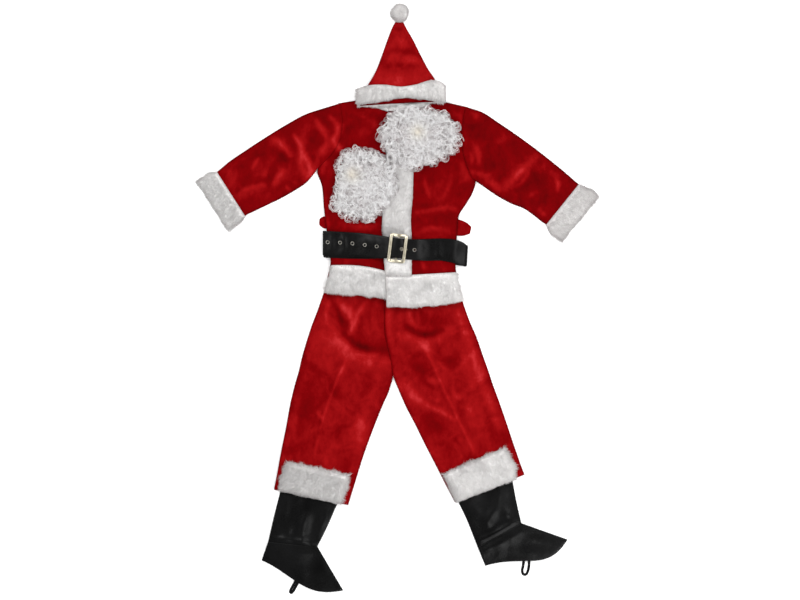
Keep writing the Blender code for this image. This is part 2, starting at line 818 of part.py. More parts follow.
def tape(pile, name, route, width, thick, finish, steps=14):
    """A narrow flat tape laid along a smooth route on the floor plan."""
    route = np.array(route, float)
    lengths = np.hypot(*np.diff(route, axis=0).T)
    knots = np.concatenate([[0.0], np.cumsum(lengths)])
    route = smooth_through(knots, route, np.linspace(0, knots[-1], steps + 1))
    away = np.gradient(route, axis=0)
    away = away / np.linalg.norm(away, axis=1, keepdims=True)
    side = np.stack([-away[:, 1], away[:, 0]], axis=1) * width / 2
    plan = np.stack([route + side, route - side], axis=1)
    under = settled(pile.rest(plan, grid_faces(steps, 1)), passes=1)
    points = wall_points(plan, under, thick)
    faces = wall_faces(len(route) - 1, 1, is_clockwise(plan))
    pile.add(points, faces)
    return add_object(name, points, faces, finish)


def belt_loop(pile, name, root, way, lean, length, half_width, finish):
    """A tab of plush folded back on itself, which sticks out from the side seam."""
    bend = PLUSH * 0.5 + 0.5
    run = np.linspace(0, length - 2 * bend, 5)
    arc = np.linspace(-math.pi / 2, math.pi / 2, 5)
    path = [(x, -bend) for x in run]
    path += [(run[-1] + bend * math.cos(a), bend * math.sin(a)) for a in arc[1:-1]]
    path += [(x, bend) for x in reversed(run)]
    path = np.array(path)
    away = np.gradient(path, axis=0)
    away = away / np.linalg.norm(away, axis=1, keepdims=True)
    normal = np.stack([away[:, 1], -away[:, 0]], axis=1) * PLUSH / 2
    half = half_width * np.sqrt(np.clip(1 - (path[:, 0] / (length * 1.04)) ** 2.6, 0.05, 1))
    height = bend + PLUSH / 2
    points = []
    for sign in (1, -1):
        for (x, z), (nx, nz), w in zip(path, normal, half):
            for y in (-w, 0.0, w):
                px, pz = x + sign * nx, z + sign * nz + height
                turned_x = way * px * math.cos(lean) - y * math.sin(lean)
                turned_y = way * px * math.sin(lean) + y * math.cos(lean)
                points.append((root[0] + turned_x, root[1] + turned_y, pz))
    faces = wall_faces(len(path) - 1, 2, False)
    pile.add(points, faces)
    obj = add_object(name, points, faces, finish)
    facing_out(obj)
    return obj


def tube_faces(stations, around, closed):
    faces = ring_faces(stations, around)
    if closed:
        first, last = 0, (stations - 1) * around
        for i in range(around):
            j = (i + 1) % around
            faces.append((last + i, last + j, first + j, first + i))
    else:
        faces.append(tuple(reversed(range(around))))
        faces.append(tuple((stations - 1) * around + i for i in range(around)))
    return faces


def swept(route, radius, around, closed=False):
    """Points and faces of a round bar along a route in space."""
    route = np.array(route, float)
    ahead = np.roll(route, -1, axis=0) - np.roll(route, 1, axis=0)
    if not closed:
        ahead = np.gradient(route, axis=0)
    ahead = ahead / np.linalg.norm(ahead, axis=1, keepdims=True)
    points = []
    for place, forward in zip(route, ahead):
        sideways = np.cross(forward, (0, 0, 1))
        sideways = sideways / np.linalg.norm(sideways)
        upward = np.cross(sideways, forward)
        for i in range(around):
            a = 2 * math.pi * (i + 0.5) / around
            points.append(place + radius * (math.cos(a) * sideways + math.sin(a) * upward))
    return np.array(points), tube_faces(len(route), around, closed)


def facing_out(obj):
    """Turns the faces of a closed mesh to point outwards."""
    work = bmesh.new()
    work.from_mesh(obj.data)
    bmesh.ops.recalc_face_normals(work, faces=work.faces)
    work.to_mesh(obj.data)
    work.free()


def at_buckle(along, across):
    """A place on the buckle, from its own centre, on the floor plan."""
    x = along * math.cos(BUCKLE_TILT) - across * math.sin(BUCKLE_TILT)
    y = along * math.sin(BUCKLE_TILT) + across * math.cos(BUCKLE_TILT)
    return BUCKLE_CENTRE[0] + x, BUCKLE_CENTRE[1] + y


def buckle_loop():
    """The buckle frame's centreline in its own plane, a rounded rectangle."""
    half_w = (BUCKLE_WIDTH - BUCKLE_BAR) / 2
    half_h = (BUCKLE_HEIGHT - BUCKLE_BAR) / 2
    loop = []
    corners = [(1, 1, 0), (-1, 1, 90), (-1, -1, 180), (1, -1, 270)]
    for sx, sy, start in corners:
        cx, cy = sx * (half_w - BUCKLE_CORNER), sy * (half_h - BUCKLE_CORNER)
        for turn in (0, 45, 90):
            a = math.radians(start + turn)
            loop.append((cx + BUCKLE_CORNER * math.cos(a), cy + BUCKLE_CORNER * math.sin(a)))
        if sx * sy > 0:
            loop.append((0.0, sy * half_h))
        else:
            loop.append((sx * half_w, 0.0))
    return loop


def join(obj, other):
    """Makes one solid of two that overlap."""
    union = obj.modifiers.new("union", "BOOLEAN")
    union.operation = "UNION"
    union.solver = "EXACT"
    union.object = other
    other.hide_render = True
    other.display_type = "WIRE"


def centre_bar(pile, finish):
    """The buckle's hidden middle bar, which the strap's tail runs over."""
    half = (BUCKLE_HEIGHT - BUCKLE_BAR) / 2
    ends = [at_buckle(0, -half), at_buckle(0, half)]
    places = [at_buckle(0, half * share) for share in np.linspace(-1, 1, 9)]
    z = max(pile.top_within(*p, 3.0) for p in places) + LAY_GAP + BAR_DIAMETER / 2
    points, faces = swept([(*ends[0], z), (*ends[1], z)], BAR_DIAMETER / 2, ROUND_SIDES)
    pile.add(points, faces)
    return add_object("centre_bar_helper", points, faces, finish), z


def buckle(pile, bar, bar_z, finish):
    """The frame: its side bars lie over the strap and its ends dip to the middle bar."""
    loop = buckle_loop()
    half_w, half_h = (BUCKLE_WIDTH - BUCKLE_BAR) / 2, (BUCKLE_HEIGHT - BUCKLE_BAR) / 2
    run = np.linspace(BUCKLE_CORNER - half_h, half_h - BUCKLE_CORNER, 13)
    sides = [at_buckle(s * half_w, y) for s in (-1, 1) for y in run]
    highest = max(pile.top_within(*p, BUCKLE_BAR / 2) for p in sides)
    side_z = highest + LAY_GAP + BUCKLE_BAR * BUCKLE_FLATNESS / 2
    route = []
    for along, across in loop:
        share = min(1.0, abs(along) / half_w)
        z = bar_z + (side_z - bar_z) * share**1.5
        route.append((*at_buckle(along, across), z))
    points, faces = swept(route, BUCKLE_BAR / 2, ROUND_SIDES, closed=True)
    middle = np.repeat(np.array(route)[:, 2], ROUND_SIDES)
    points[:, 2] = middle + (points[:, 2] - middle) * BUCKLE_FLATNESS
    obj = add_object("buckle_frame", points, faces, finish)
    facing_out(obj)
    facing_out(bar)
    join(obj, bar)
    pile.add(points, faces)
    return obj, side_z


def prong_route(x_and_z):
    """Places along the pin, which lies square to the buckle through its eyelet."""
    slope = math.tan(BUCKLE_TILT)
    return [(x, PIN_EYELET.y + (x - PIN_EYELET.x) * slope, z) for x, z in x_and_z]


def prong_foot(bar_z):
    """The pin's stretch under the strap, from the middle bar to the eyelet."""
    start = BAR_DIAMETER / 2 + LAY_GAP + PRONG_DIAMETER / 2
    return [(start, bar_z), (PIN_EYELET.x - PRONG_TURN, bar_z)]


def prong(bar_z, side_z, finish):
    """The pin: from the middle bar, up through an eyelet and onto the frame's right bar."""
    radius = PRONG_DIAMETER / 2
    top = side_z + BUCKLE_BAR * BUCKLE_FLATNESS / 2 + LAY_GAP + radius
    end = BUCKLE_WIDTH / 2 + 2.0
    rise = [(PIN_EYELET.x + 1.2, top - 0.5), (end - 5.0, top), (end, top - 0.2)]
    points, faces = swept(prong_route(prong_foot(bar_z) + rise), radius, PRONG_SIDES)
    obj = add_object("buckle_prong", points, faces, finish)
    facing_out(obj)
    return obj


def hole_cutter(eyelet, sides=10):
    """A round rod that stands through the strap where one eyelet goes."""
    turn = np.linspace(0, 2 * math.pi, sides, endpoint=False)
    radius = EYELET_HOLE / 2
    rim = [(eyelet.x + radius * math.cos(a), eyelet.y + radius * math.sin(a)) for a in turn]
    points = [(*p, CUT_FROM) for p in rim] + [(*p, CUT_TO) for p in rim]
    cutter = add_object(f"cut_{eyelet.name}", points, tube_faces(2, sides, False), None)
    facing_out(cutter)
    cutter.hide_render = True
    cutter.display_type = "WIRE"
    return cutter


def punch(strap, eyelets):
    """Cuts the eyelet holes through the strap."""
    for eyelet in eyelets:
        cut = strap.modifiers.new(eyelet.name, "BOOLEAN")
        cut.operation = "DIFFERENCE"
        cut.solver = "EXACT"
        cut.object = hole_cutter(eyelet)


def eyelet_ring(pile, eyelet, finish, around=12):
    """A pressed metal ring around one hole, lying on the strap's own slope."""
    outer, inner = EYELET_RIM / 2, EYELET_HOLE / 2 + 0.3
    spot = pile.patch(eyelet.x, eyelet.y, outer + 1.0)
    (slope_x, slope_y, level), *_ = np.linalg.lstsq(
        np.column_stack([spot[:, :2], np.ones(len(spot))]), spot[:, 2], rcond=None
    )
    proud = (spot[:, 2] - spot[:, :2] @ [slope_x, slope_y] - level).max() + EYELET_SEAT
    turn = np.linspace(0, 2 * math.pi, around, endpoint=False)
    rings = [(outer, 0.0), (outer - 0.8, EYELET_THICK), (inner, EYELET_THICK), (inner, 0.0)]
    points = []
    for radius, height in rings:
        for a in turn:
            x, y = eyelet.x + radius * math.cos(a), eyelet.y + radius * math.sin(a)
            points.append((x, y, slope_x * x + slope_y * y + level + proud + height))
    faces = tube_faces(len(rings), around, True)
    obj = add_object(eyelet.name, points, faces, finish)
    facing_out(obj)
    return obj


def lay_boots(pile, black):
    """Both boot covers, each laid on its side: lower walls, elastic, then upper walls."""
    lower = [
        ("boot_shaft_right_under", BOOT_SHAFT_RIGHT, 4, 5),
        ("boot_foot_right_under", BOOT_FOOT_RIGHT, 8, 3),
        ("boot_shaft_left_under", BOOT_SHAFT_LEFT, 4, 5),
        ("boot_foot_left_under", BOOT_FOOT_LEFT, 8, 3),
    ]
    for name, sections, columns, rows in lower:
        lay(pile, name, sections, columns, rows, LEATHERETTE, black)
    tape(pile, "boot_elastic_right", ELASTIC_RIGHT, ELASTIC_WIDTH, ELASTIC_THICK, black)
    tape(pile, "boot_elastic_left", ELASTIC_LEFT, ELASTIC_WIDTH, ELASTIC_THICK, black)
    upper = [
        ("boot_shaft_right", BOOT_SHAFT_RIGHT, 7, 9, BOOT_RIGHT_FOLDS),
        ("boot_foot_right", BOOT_FOOT_RIGHT, 10, 5, ()),
        ("boot_shaft_left", BOOT_SHAFT_LEFT, 7, 9, BOOT_LEFT_FOLDS),
        ("boot_foot_left", BOOT_FOOT_LEFT, 10, 5, ()),
    ]
    for name, sections, columns, rows, folds in upper:
        lay(pile, name, sections, columns, rows, LEATHERETTE, black, folds, LOFT)


def lay_trousers(pile, red, fur):
    lay(pile, "trouser_back_right", TROUSER_RIGHT, 5, 13, PLUSH, red)
    lay(pile, "trouser_back_left", TROUSER_LEFT, 5, 13, PLUSH, red)
    lay(pile, "trouser_front_right", TROUSER_RIGHT, 9, 19, PLUSH, red, TROUSER_RIGHT_FOLDS, LOFT)
    lay(pile, "trouser_front_left", TROUSER_LEFT, 9, 19, PLUSH, red, TROUSER_LEFT_FOLDS, LOFT)
    lay(pile, "trouser_fur_right", LEG_FUR_RIGHT, 8, 4, FUR_TOP, fur, furry=True)
    lay(pile, "trouser_fur_left", LEG_FUR_LEFT, 8, 4, FUR_TOP, fur, furry=True)


def lay_jacket(pile, red, fur):
    """The jacket from its lowest layer up, over the belt's run on the floor."""
    pile.add(*strap_wall(belt_back_run()))
    belt_loop(pile, "belt_loop_right", (-180, 199), -1, math.radians(-4), 24, 17, red)
    belt_loop(pile, "belt_loop_left", (146, 188), 1, math.radians(-12), 46, 22, red)
    lay(pile, "hem_fur_back", HEM_BACK, 12, 3, FUR_UNDER, fur, furry=True)
    lay(pile, "cuff_fur_right_under", CUFF_RIGHT, 6, 3, FUR_UNDER, fur, furry=True)
    lay(pile, "cuff_fur_left_under", CUFF_LEFT, 6, 3, FUR_UNDER, fur, furry=True)
    lay(pile, "jacket_back", JACKET_BACK, 13, 15, PLUSH, red)
    lay(pile, "sleeve_back_right", SLEEVE_RIGHT, 5, 11, PLUSH, red)
    lay(pile, "sleeve_back_left", SLEEVE_LEFT, 5, 11, PLUSH, red)
    lay(pile, "collar_fur_back", COLLAR_BACK, 6, 2, FUR_UNDER, fur, furry=True)
    panels = [
        ("jacket_front_right", JACKET_FRONT_RIGHT, 18, JACKET_RIGHT_FOLDS, LOFT),
        ("jacket_front_left", JACKET_FRONT_LEFT, 18, JACKET_LEFT_FOLDS, LOFT),
        ("sleeve_front_right", SLEEVE_RIGHT, 15, SLEEVE_RIGHT_FOLDS, SLEEVE_LOFT),
        ("sleeve_front_left", SLEEVE_LEFT, 15, SLEEVE_LEFT_FOLDS, SLEEVE_LOFT),
    ]
    for name, sections, rows, folds, air in panels:
        lay(pile, name, sections, 8, rows, PLUSH, red, folds, air)
    lay(pile, "hem_fur_right", HEM_RIGHT, 8, 4, FUR_TOP, fur, furry=True)
    lay(pile, "hem_fur_left", HEM_LEFT, 9, 4, FUR_TOP, fur, furry=True)
    lay(pile, "placket_fur", PLACKET, 4, 18, FUR_TOP, fur, furry=True)
    lay(pile, "cuff_fur_right", CUFF_RIGHT, 7, 4, FUR_TOP, fur, furry=True)
    lay(pile, "cuff_fur_left", CUFF_LEFT, 7, 4, FUR_TOP, fur, furry=True)
    lay(pile, "collar_fur_right", COLLAR_RIGHT, 2, 4, FUR_UNDER, fur, furry=True)
    lay(pile, "collar_fur_left", COLLAR_LEFT, 2, 5, FUR_UNDER, fur, furry=True)


def belt_back_run():
    """The belt's flat run on the floor, under the jacket's back: rows of three points across."""
    plan = plan_of(BELT_BACK, 2, 8)
    return np.concatenate([plan, np.full((*plan.shape[:2], 1), BELT / 2)], axis=2)


def strap_end(sections, under, last):
    """The middle of a strap's end, as three points across it."""
    plan = plan_of(sections, 2, len(under) - 1)[-1 if last else 0]
    heights = under[-1 if last else 0]
    z = np.interp([0, 0.5, 1], np.linspace(0, 1, len(heights)), heights) + BELT / 2
    return np.concatenate([plan, z[:, None]], axis=1)


def turn_up(low, high, way, steps=6):
    """Rows of a strap's middle as it turns up round the jacket's side to a strap end."""
    high = high + [way * LAY_GAP, 0, 0]
    middle, half = (high + low) / 2, (high - low) / 2
    bulge = np.array([way * half[:, 2].max(), 0, 0])
    turns = np.linspace(-math.pi / 2, math.pi / 2, steps + 1)
    return [middle + half * math.sin(a) + bulge * math.cos(a) for a in turns]


def strap_wall(rows):
    """The points and faces of a strap around rows of its middle, which run from -X to +X."""
    rows = np.array(rows)
    ahead = np.gradient(rows, axis=0)
    ahead[..., 1] = 0
    ahead = ahead / np.linalg.norm(ahead, axis=2, keepdims=True)
    inward = np.stack([-ahead[..., 2], np.zeros(ahead.shape[:2]), ahead[..., 0]], axis=2) * BELT / 2
    points = np.concatenate([(rows - inward).reshape(-1, 3), (rows + inward).reshape(-1, 3)])
    return points, wall_faces(len(rows) - 1, 2, True)


def lay_belt(pile, black, gold):
    """The belt's runs over the front, fastened in the buckle, and its run round the back."""
    _, under = lay(pile, "belt_under", BELT_UNDER, 2, 8, BELT, black)
    back = belt_back_run()
    right_side = turn_up(back[0], strap_end(BELT_UNDER, under, last=False), -1)[::-1]
    pile.add(*strap_wall(right_side))
    bar, bar_z = centre_bar(pile, gold)
    pile.add(*swept(prong_route(prong_foot(bar_z)), PRONG_DIAMETER / 2, PRONG_SIDES))
    strap, under = lay(pile, "belt_front", BELT_FRONT, 3, 26, BELT, black)
    left_side = turn_up(back[-1], strap_end(BELT_FRONT, under, last=True), 1)
    rows = [*right_side[:-1], *back, *left_side[1:]]
    obj = add_object("belt_back", *strap_wall(rows), black)
    obj.data.shade_smooth()
    for eyelet in EYELETS:
        eyelet_ring(pile, eyelet, gold)
    _, side_z = buckle(pile, bar, bar_z, gold)
    prong(bar_z, side_z, gold)
    punch(strap, EYELETS)


def lay_hat(pile, red, fur):
    lay(pile, "hat_brim_fur_back", BRIM_BACK, 3, 9, FUR_UNDER, fur, furry=True)
    lay(pile, "hat_back", HAT_BACK, 6, 10, PLUSH, red)
    lay(pile, "hat_front", HAT_FRONT, 8, 12, PLUSH, red, HAT_FOLDS, LOFT)
    lay(pile, "hat_brim_fur_front", BRIM_FRONT, 4, 14, FUR_TOP, fur, furry=True)
    pompom(pile, fur)


def main():
    clear_scene()
    red = material("red_plush", RED)
    fur = material("white_fur", WHITE_FUR)
    curls = material("white_curls", HAIR)
    black = material("black_leatherette", BLACK)
    gold = material("pale_gold", GOLD)
    pile = Pile()
    lay_boots(pile, black)
    lay_trousers(pile, red, fur)
    lay_jacket(pile, red, fur)
    lay_belt(pile, black, gold)
    lay_hat(pile, red, fur)
    mounds = [
        hair(pile, "beard", BEARD_CENTRE, BEARD_REACH, BEARD_HEIGHT, curls),
        hair(pile, "wig", WIG_CENTRE, WIG_REACH, WIG_HEIGHT, curls),
    ]
    for points, faces in mounds:
        pile.add(points, faces)


main()
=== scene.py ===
"""A child's Santa suit laid out flat: boot covers, trousers, jacket, belt, hat, beard and wig.

Tables and sums are in millimetres, seen from above: +X to the right, +Y from the boots to the hat and
+Z up from the floor. Meshes are in metres. Each fine piece takes its place and height from its own CAD
node, and is laid in order on a height grid, so that it stays clear of what lies under it.
"""

import math
from collections import namedtuple

import bmesh
import bpy
import numpy as np
from bpy.props import FloatProperty, FloatVectorProperty, IntProperty, PointerProperty
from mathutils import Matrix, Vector
from mathutils.bvhtree import BVHTree


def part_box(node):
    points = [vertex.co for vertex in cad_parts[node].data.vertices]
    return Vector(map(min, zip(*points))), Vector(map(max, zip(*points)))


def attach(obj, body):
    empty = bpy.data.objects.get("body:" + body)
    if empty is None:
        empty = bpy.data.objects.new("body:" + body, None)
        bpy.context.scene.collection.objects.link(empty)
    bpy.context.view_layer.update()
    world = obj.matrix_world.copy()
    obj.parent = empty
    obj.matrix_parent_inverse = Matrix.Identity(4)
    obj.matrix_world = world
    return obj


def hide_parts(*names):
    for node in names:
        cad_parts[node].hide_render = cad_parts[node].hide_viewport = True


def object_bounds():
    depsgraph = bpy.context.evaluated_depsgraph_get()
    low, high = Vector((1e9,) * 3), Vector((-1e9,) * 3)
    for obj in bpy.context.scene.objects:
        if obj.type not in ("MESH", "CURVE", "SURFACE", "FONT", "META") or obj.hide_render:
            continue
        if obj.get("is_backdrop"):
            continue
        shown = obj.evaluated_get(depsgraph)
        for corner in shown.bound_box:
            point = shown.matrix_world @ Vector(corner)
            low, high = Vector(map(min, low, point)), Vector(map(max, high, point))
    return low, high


bl_info = {
    "name": "Santa Suit",
    "version": (1, 0, 0),
    "blender": (4, 5, 0),
    "location": "3D View > Sidebar > Santa Suit",
    "description": "Dresses the packed model of a laid-out Santa suit in plush, fur, curls and leatherette",
    "category": "Object",
}

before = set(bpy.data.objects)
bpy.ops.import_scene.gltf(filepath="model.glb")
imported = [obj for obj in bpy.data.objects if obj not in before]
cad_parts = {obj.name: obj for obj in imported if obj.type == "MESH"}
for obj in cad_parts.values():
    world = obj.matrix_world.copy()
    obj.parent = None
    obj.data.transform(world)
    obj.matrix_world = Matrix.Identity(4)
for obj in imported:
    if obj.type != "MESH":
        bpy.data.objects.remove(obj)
CAD_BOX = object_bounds()

MM = 0.001
FULL_TURN = 2 * math.pi
BODY = "root"

Section = namedtuple("Section", "left_x left_y right_x right_y bow skew", defaults=(0.0, 1.0))
Crease = namedtuple("Crease", "from_x from_y mid_x mid_y to_x to_y width height shine", defaults=(0.0,))
Trim = namedtuple(
    "Trim", "node cut thick flow left right first last rests_on grey covered joined",
    defaults=(0.0, False, False),
)


def sections(*rows):
    """A cut piece. Each row runs from its left to its right edge; bow lifts the row's middle, and a
    skew above 1 moves that bulge towards the right edge."""
    return [Section(*row) for row in rows]


def creases(*rows):
    """Soft ridges through three points, with a half-width and a height. The painted light is a painted
    highlight along the ridge, and painted shade where it is below zero; a height below zero is a trough."""
    return [Crease(*row) for row in rows]


JACKET_BACK = sections(
    (-187, 22, 167, 3), (-180, 60, 159, 40), (-174, 92, 152, 72), (-179, 140, 151, 115),
    (-185, 190, 155, 170), (-191, 240, 160, 218), (-196, 295, 180, 250), (-208, 337, 203, 307),
    (-178, 376, 184, 342), (-157, 415, 179, 382), (-153, 450, 182, 430), (-156, 484, 183, 466, 6),
    (-154, 508, 183, 498, 21),
)
JACKET_FRONT_RIGHT = sections(
    (-188, 20, 2, 2), (-181, 60, 2, 45), (-174, 92, 2, 76), (-179, 135, 3, 125),
    (-185, 185, 3, 180), (-191, 235, 4, 235), (-196, 292, 5, 290), (-208, 337, 6, 340),
    (-178, 376, 6, 385), (-157, 415, 4, 425), (-154, 452, 4, 460), (-157, 482, 4, 486),
    (-157, 498, 0, 500), (-155, 503, -34, 508), (-154, 508, -58, 524),
)
JACKET_FRONT_LEFT = sections(
    (-27, -17, 168, 0), (-30, 25, 160, 36), (-33, 62, 152, 72), (-37, 110, 151, 112),
    (-40, 165, 154, 165), (-40, 205, 159, 215), (-36, 250, 179, 248), (-33, 290, 195, 276),
    (-31, 325, 203, 307), (-30, 362, 184, 342), (-29, 400, 179, 382), (-28, 440, 182, 430),
    (-26, 478, 183, 466), (-18, 494, 183, 482), (12, 501, 183, 490), (50, 509, 183, 495),
    (74, 523, 183, 498),
)
SLEEVE_RIGHT = sections(
    (-149, 508, -206, 341, 30), (-192, 495, -217, 325, 16), (-238, 480, -236, 303, 4),
    (-290, 452, -262, 285), (-342, 420, -300, 263), (-391, 388, -343, 242), (-436, 357, -374, 227),
    (-470, 329, -396, 215), (-492, 315, -412, 195), (-513, 300, -431, 182),
)
SLEEVE_LEFT = sections(
    (192, 314, 177, 499, 18), (225, 291, 222, 484, 8), (257, 269, 262, 458, 4), (293, 249, 305, 429),
    (328, 235, 352, 395), (357, 215, 398, 359), (374, 201, 438, 326), (386, 193, 470, 298),
    (405, 176, 489, 284), (424, 161, 511, 271),
)
CUFF_RIGHT = sections(
    (-469, 332, -393, 213), (-486, 330, -405, 198), (-505, 319, -422, 186), (-524, 304, -437, 173),
)
CUFF_LEFT = sections((384, 192, 471, 300), (394, 170, 490, 291), (411, 157, 509, 284), (427, 148, 524, 263))
PLACKET = sections(
    (-33, 60, 38, 58.5), (-37, 110, 38, 110), (-40, 165, 38, 160), (-41, 205, 36, 203),
    (-36, 260, 40, 260), (-32, 343, 43, 343), (-29, 420, 43, 420), (-27, 484, 44, 482),
)
HEM_LEFT = sections((-30, -21, 173, -5, -8), (-31, 20, 164, 28, -3), (-33, 60, 156, 71))
HEM_RIGHT = sections((-194, 15, -5, -4, 2), (-184, 52, -5, 32, 5), (-174, 89, -5, 66, 9))
HEM_BACK = sections((-192, 20, 171, 2), (-183, 54, 163, 36), (-175, 86, 154, 66))
COLLAR_RIGHT = sections((-23, 484, -16, 506), (-61, 497, -43, 517), (-92, 513, -66, 533))
COLLAR_LEFT = sections((-25, 486, -20, 507), (30, 484, 28, 509), (70, 497, 58, 520), (102, 512, 80, 533))
COLLAR_BACK = sections((-60, 498, 74, 498, -6), (-62, 532, 76, 530, 6))
TROUSER_RIGHT = sections(
    (-166, 76, -28, 77), (-181, 44, -29, 42), (-193, 12, -30, 5), (-207, -28, -30, -40),
    (-223, -70, -29, -85), (-237, -113, -20, -130), (-249, -155, -11, -172), (-256, -186, -11, -198),
    (-265, -217, -21, -236), (-277, -265, -40, -280), (-289, -330, -64, -340), (-303, -400, -90, -412),
    (-312, -450, -108, -470), (-321, -495, -128, -535),
)
TROUSER_LEFT = sections(
    (-32, 76, 144, 74), (-33, 42, 156, 38), (-34, 5, 168, -2), (-34, -40, 186, -54),
    (-33, -85, 205, -98), (-24, -130, 221, -144), (-15, -172, 238, -192), (-12, -198, 247, -220),
    (2, -234, 257, -247), (22, -280, 271, -286), (46, -326, 286, -330), (71, -377, 300, -372),
    (99, -431, 312, -407), (126, -484, 321, -433), (149, -528, 330, -456),
)
LEG_FUR_RIGHT = sections(
    (-287, -420, -124, -455), (-299, -444, -126, -479), (-308, -470, -134, -507), (-309, -498, -149, -534),
)
LEG_FUR_LEFT = sections(
    (114, -453, 279, -382), (127, -478, 294, -407), (138, -504, 309, -436), (151, -530, 306, -469),
)
BOOT_SHAFT_RIGHT = sections(
    (-290, -442, -134, -481), (-304, -498, -158, -536), (-321, -565, -186, -599), (-337, -635, -211, -648),
)
BOOT_FOOT_RIGHT = sections((-336, -630, -208, -643), (-353, -679, -141, -757, -26, 1.6))
BOOT_SHAFT_LEFT = sections(
    (137, -480, 285, -417), (157, -525, 298, -469), (178, -569, 309, -526), (210, -649, 323, -588),
)
BOOT_FOOT_LEFT = sections((208, -644, 321, -582), (228, -693, 442, -625, -30, 1.9))
HAT_TIP = (
    (-76, 556, 99, 566), (-57, 590, 80, 596), (-40, 634, 60, 634), (-25, 676, 39, 676),
    (-11, 710, 20, 709), (-4, 722, 14, 722),
)
HAT_BACK = sections((-97, 500, 114, 511, 1), (-91, 530, 111, 536), *HAT_TIP)
HAT_FRONT = sections((-97, 508, 115, 512, 15), (-91, 532, 111, 538, 4), *HAT_TIP)
BRIM_FRONT = sections(
    (-110, 502, -109, 546), (-74, 504, -75, 555), (-28, 512, -30, 556), (8, 520, 6, 551),
    (50, 518, 48, 557), (88, 511, 92, 569), (110, 508, 114, 564), (127, 505, 127, 553),
)
BRIM_BACK = sections(
    (-106, 497, -105, 543), (-50, 496, -52, 548), (0, 500, -2, 548), (55, 508, 54, 553),
    (122, 506, 122, 552),
)
BELT_FRONT = sections(
    (-194, 114, -194, 177), (-136, 109, -138, 174), (-84, 108, -82, 170), (-40, 105, -36, 163),
    (-18, 107, -12, 159), (20, 102.5, 24, 155), (72, 99, 76, 156), (115, 99, 118, 157),
    (145, 93, 150, 154), (167, 86, 172, 146), (175, 84, 180, 140),
)
BELT_UNDER = sections(
    (-185, 107, -184, 166), (-136, 105, -134, 164), (-84, 104, -82, 162), (-10, 106, -8, 158),
)
BELT_BACK = sections((-184, 107, -184, 168), (-60, 104, -60, 165), (80, 96, 80, 155), (175, 84, 175, 140))

# The mounds of hair: their centres, and how far they reach from there at each angle in degrees
WIG_CENTRE = (58.0, 421.0)
WIG_REACH = [
    (0, 110), (22, 108), (43, 92), (65, 78), (88, 76), (112, 80), (134, 98), (150, 98),
    (173, 112), (192, 108), (210, 98), (228, 104), (248, 98), (272, 80), (290, 80), (310, 82),
    (335, 104),
]
BEARD_CENTRE = (-84.0, 295.0)
BEARD_REACH = [
    (0, 88), (20, 86), (38, 93), (60, 93), (90, 97), (116, 106), (137, 104), (154, 86),
    (175, 74), (195, 88), (217, 110), (237, 100), (256, 96), (272, 98), (290, 94), (306, 80),
    (330, 80),
]

# The boot covers' elastic straps, which hang loose from the soles in a loop
ELASTIC_LEFT = [
    (329, -664), (328, -680), (326, -695), (324, -706), (327, -715),
    (333, -716), (338, -709), (341, -697), (342, -682), (342, -664),
]
ELASTIC_RIGHT = [
    (-254, -712), (-262, -728), (-271, -744), (-277, -755), (-279, -761),
    (-276, -764), (-272, -760), (-265, -748), (-257, -733), (-248, -717),
]

# The last column of the plush creases is painted light: a painted highlight on a ridge, painted shade in a
# trough.
JACKET_RIGHT_CREASES = creases(
    (-170, 473, -149, 445, -161, 418, 7, 3.0, 1.1), (-162, 418, -158, 402, -146, 388, 7, 2.8, 1.2),
    (-114, 483, -74, 461, -53, 446, 8, 2.2, 0.3), (-188, 369, -191, 350, -194, 328, 7, 2.4, 0.65),
    (-186, 300, -189, 262, -184, 225, 9, 2.0, 0.2), (-186, 216, -182, 200, -180, 186, 7, 1.5, 0.5),
    (-150, 196, -105, 189, -60, 192, 8, 1.6, 0.3), (-164, 130, -158, 112, -160, 92, 8, 1.5, 0.2),
    (-60, 98, -90, 104, -120, 96, 9, 1.4, 0.2),
)
JACKET_LEFT_CREASES = creases(
    (69, 313, 74, 292, 82, 268, 6, 2.0, 0.55), (141, 316, 128, 284, 117, 268, 7, 2.0, 0.3),
    (45, 225, 80, 231, 117, 236, 6, 2.0, 0.45), (110, 236, 132, 237, 154, 229, 7, 2.2, 0.5),
    (64, 176, 98, 184, 136, 176, 7, 1.8, 0.45), (166, 356, 170, 336, 172, 312, 8, 2.6, 0.35),
    (62, 99, 66, 84, 72, 74, 6, 1.2, 0.5), (96, 345, 108, 300, 104, 250, 16, 1.6, 0.12),
    (150, 478, 160, 470, 168, 452, 9, 1.4, 0.35),
)
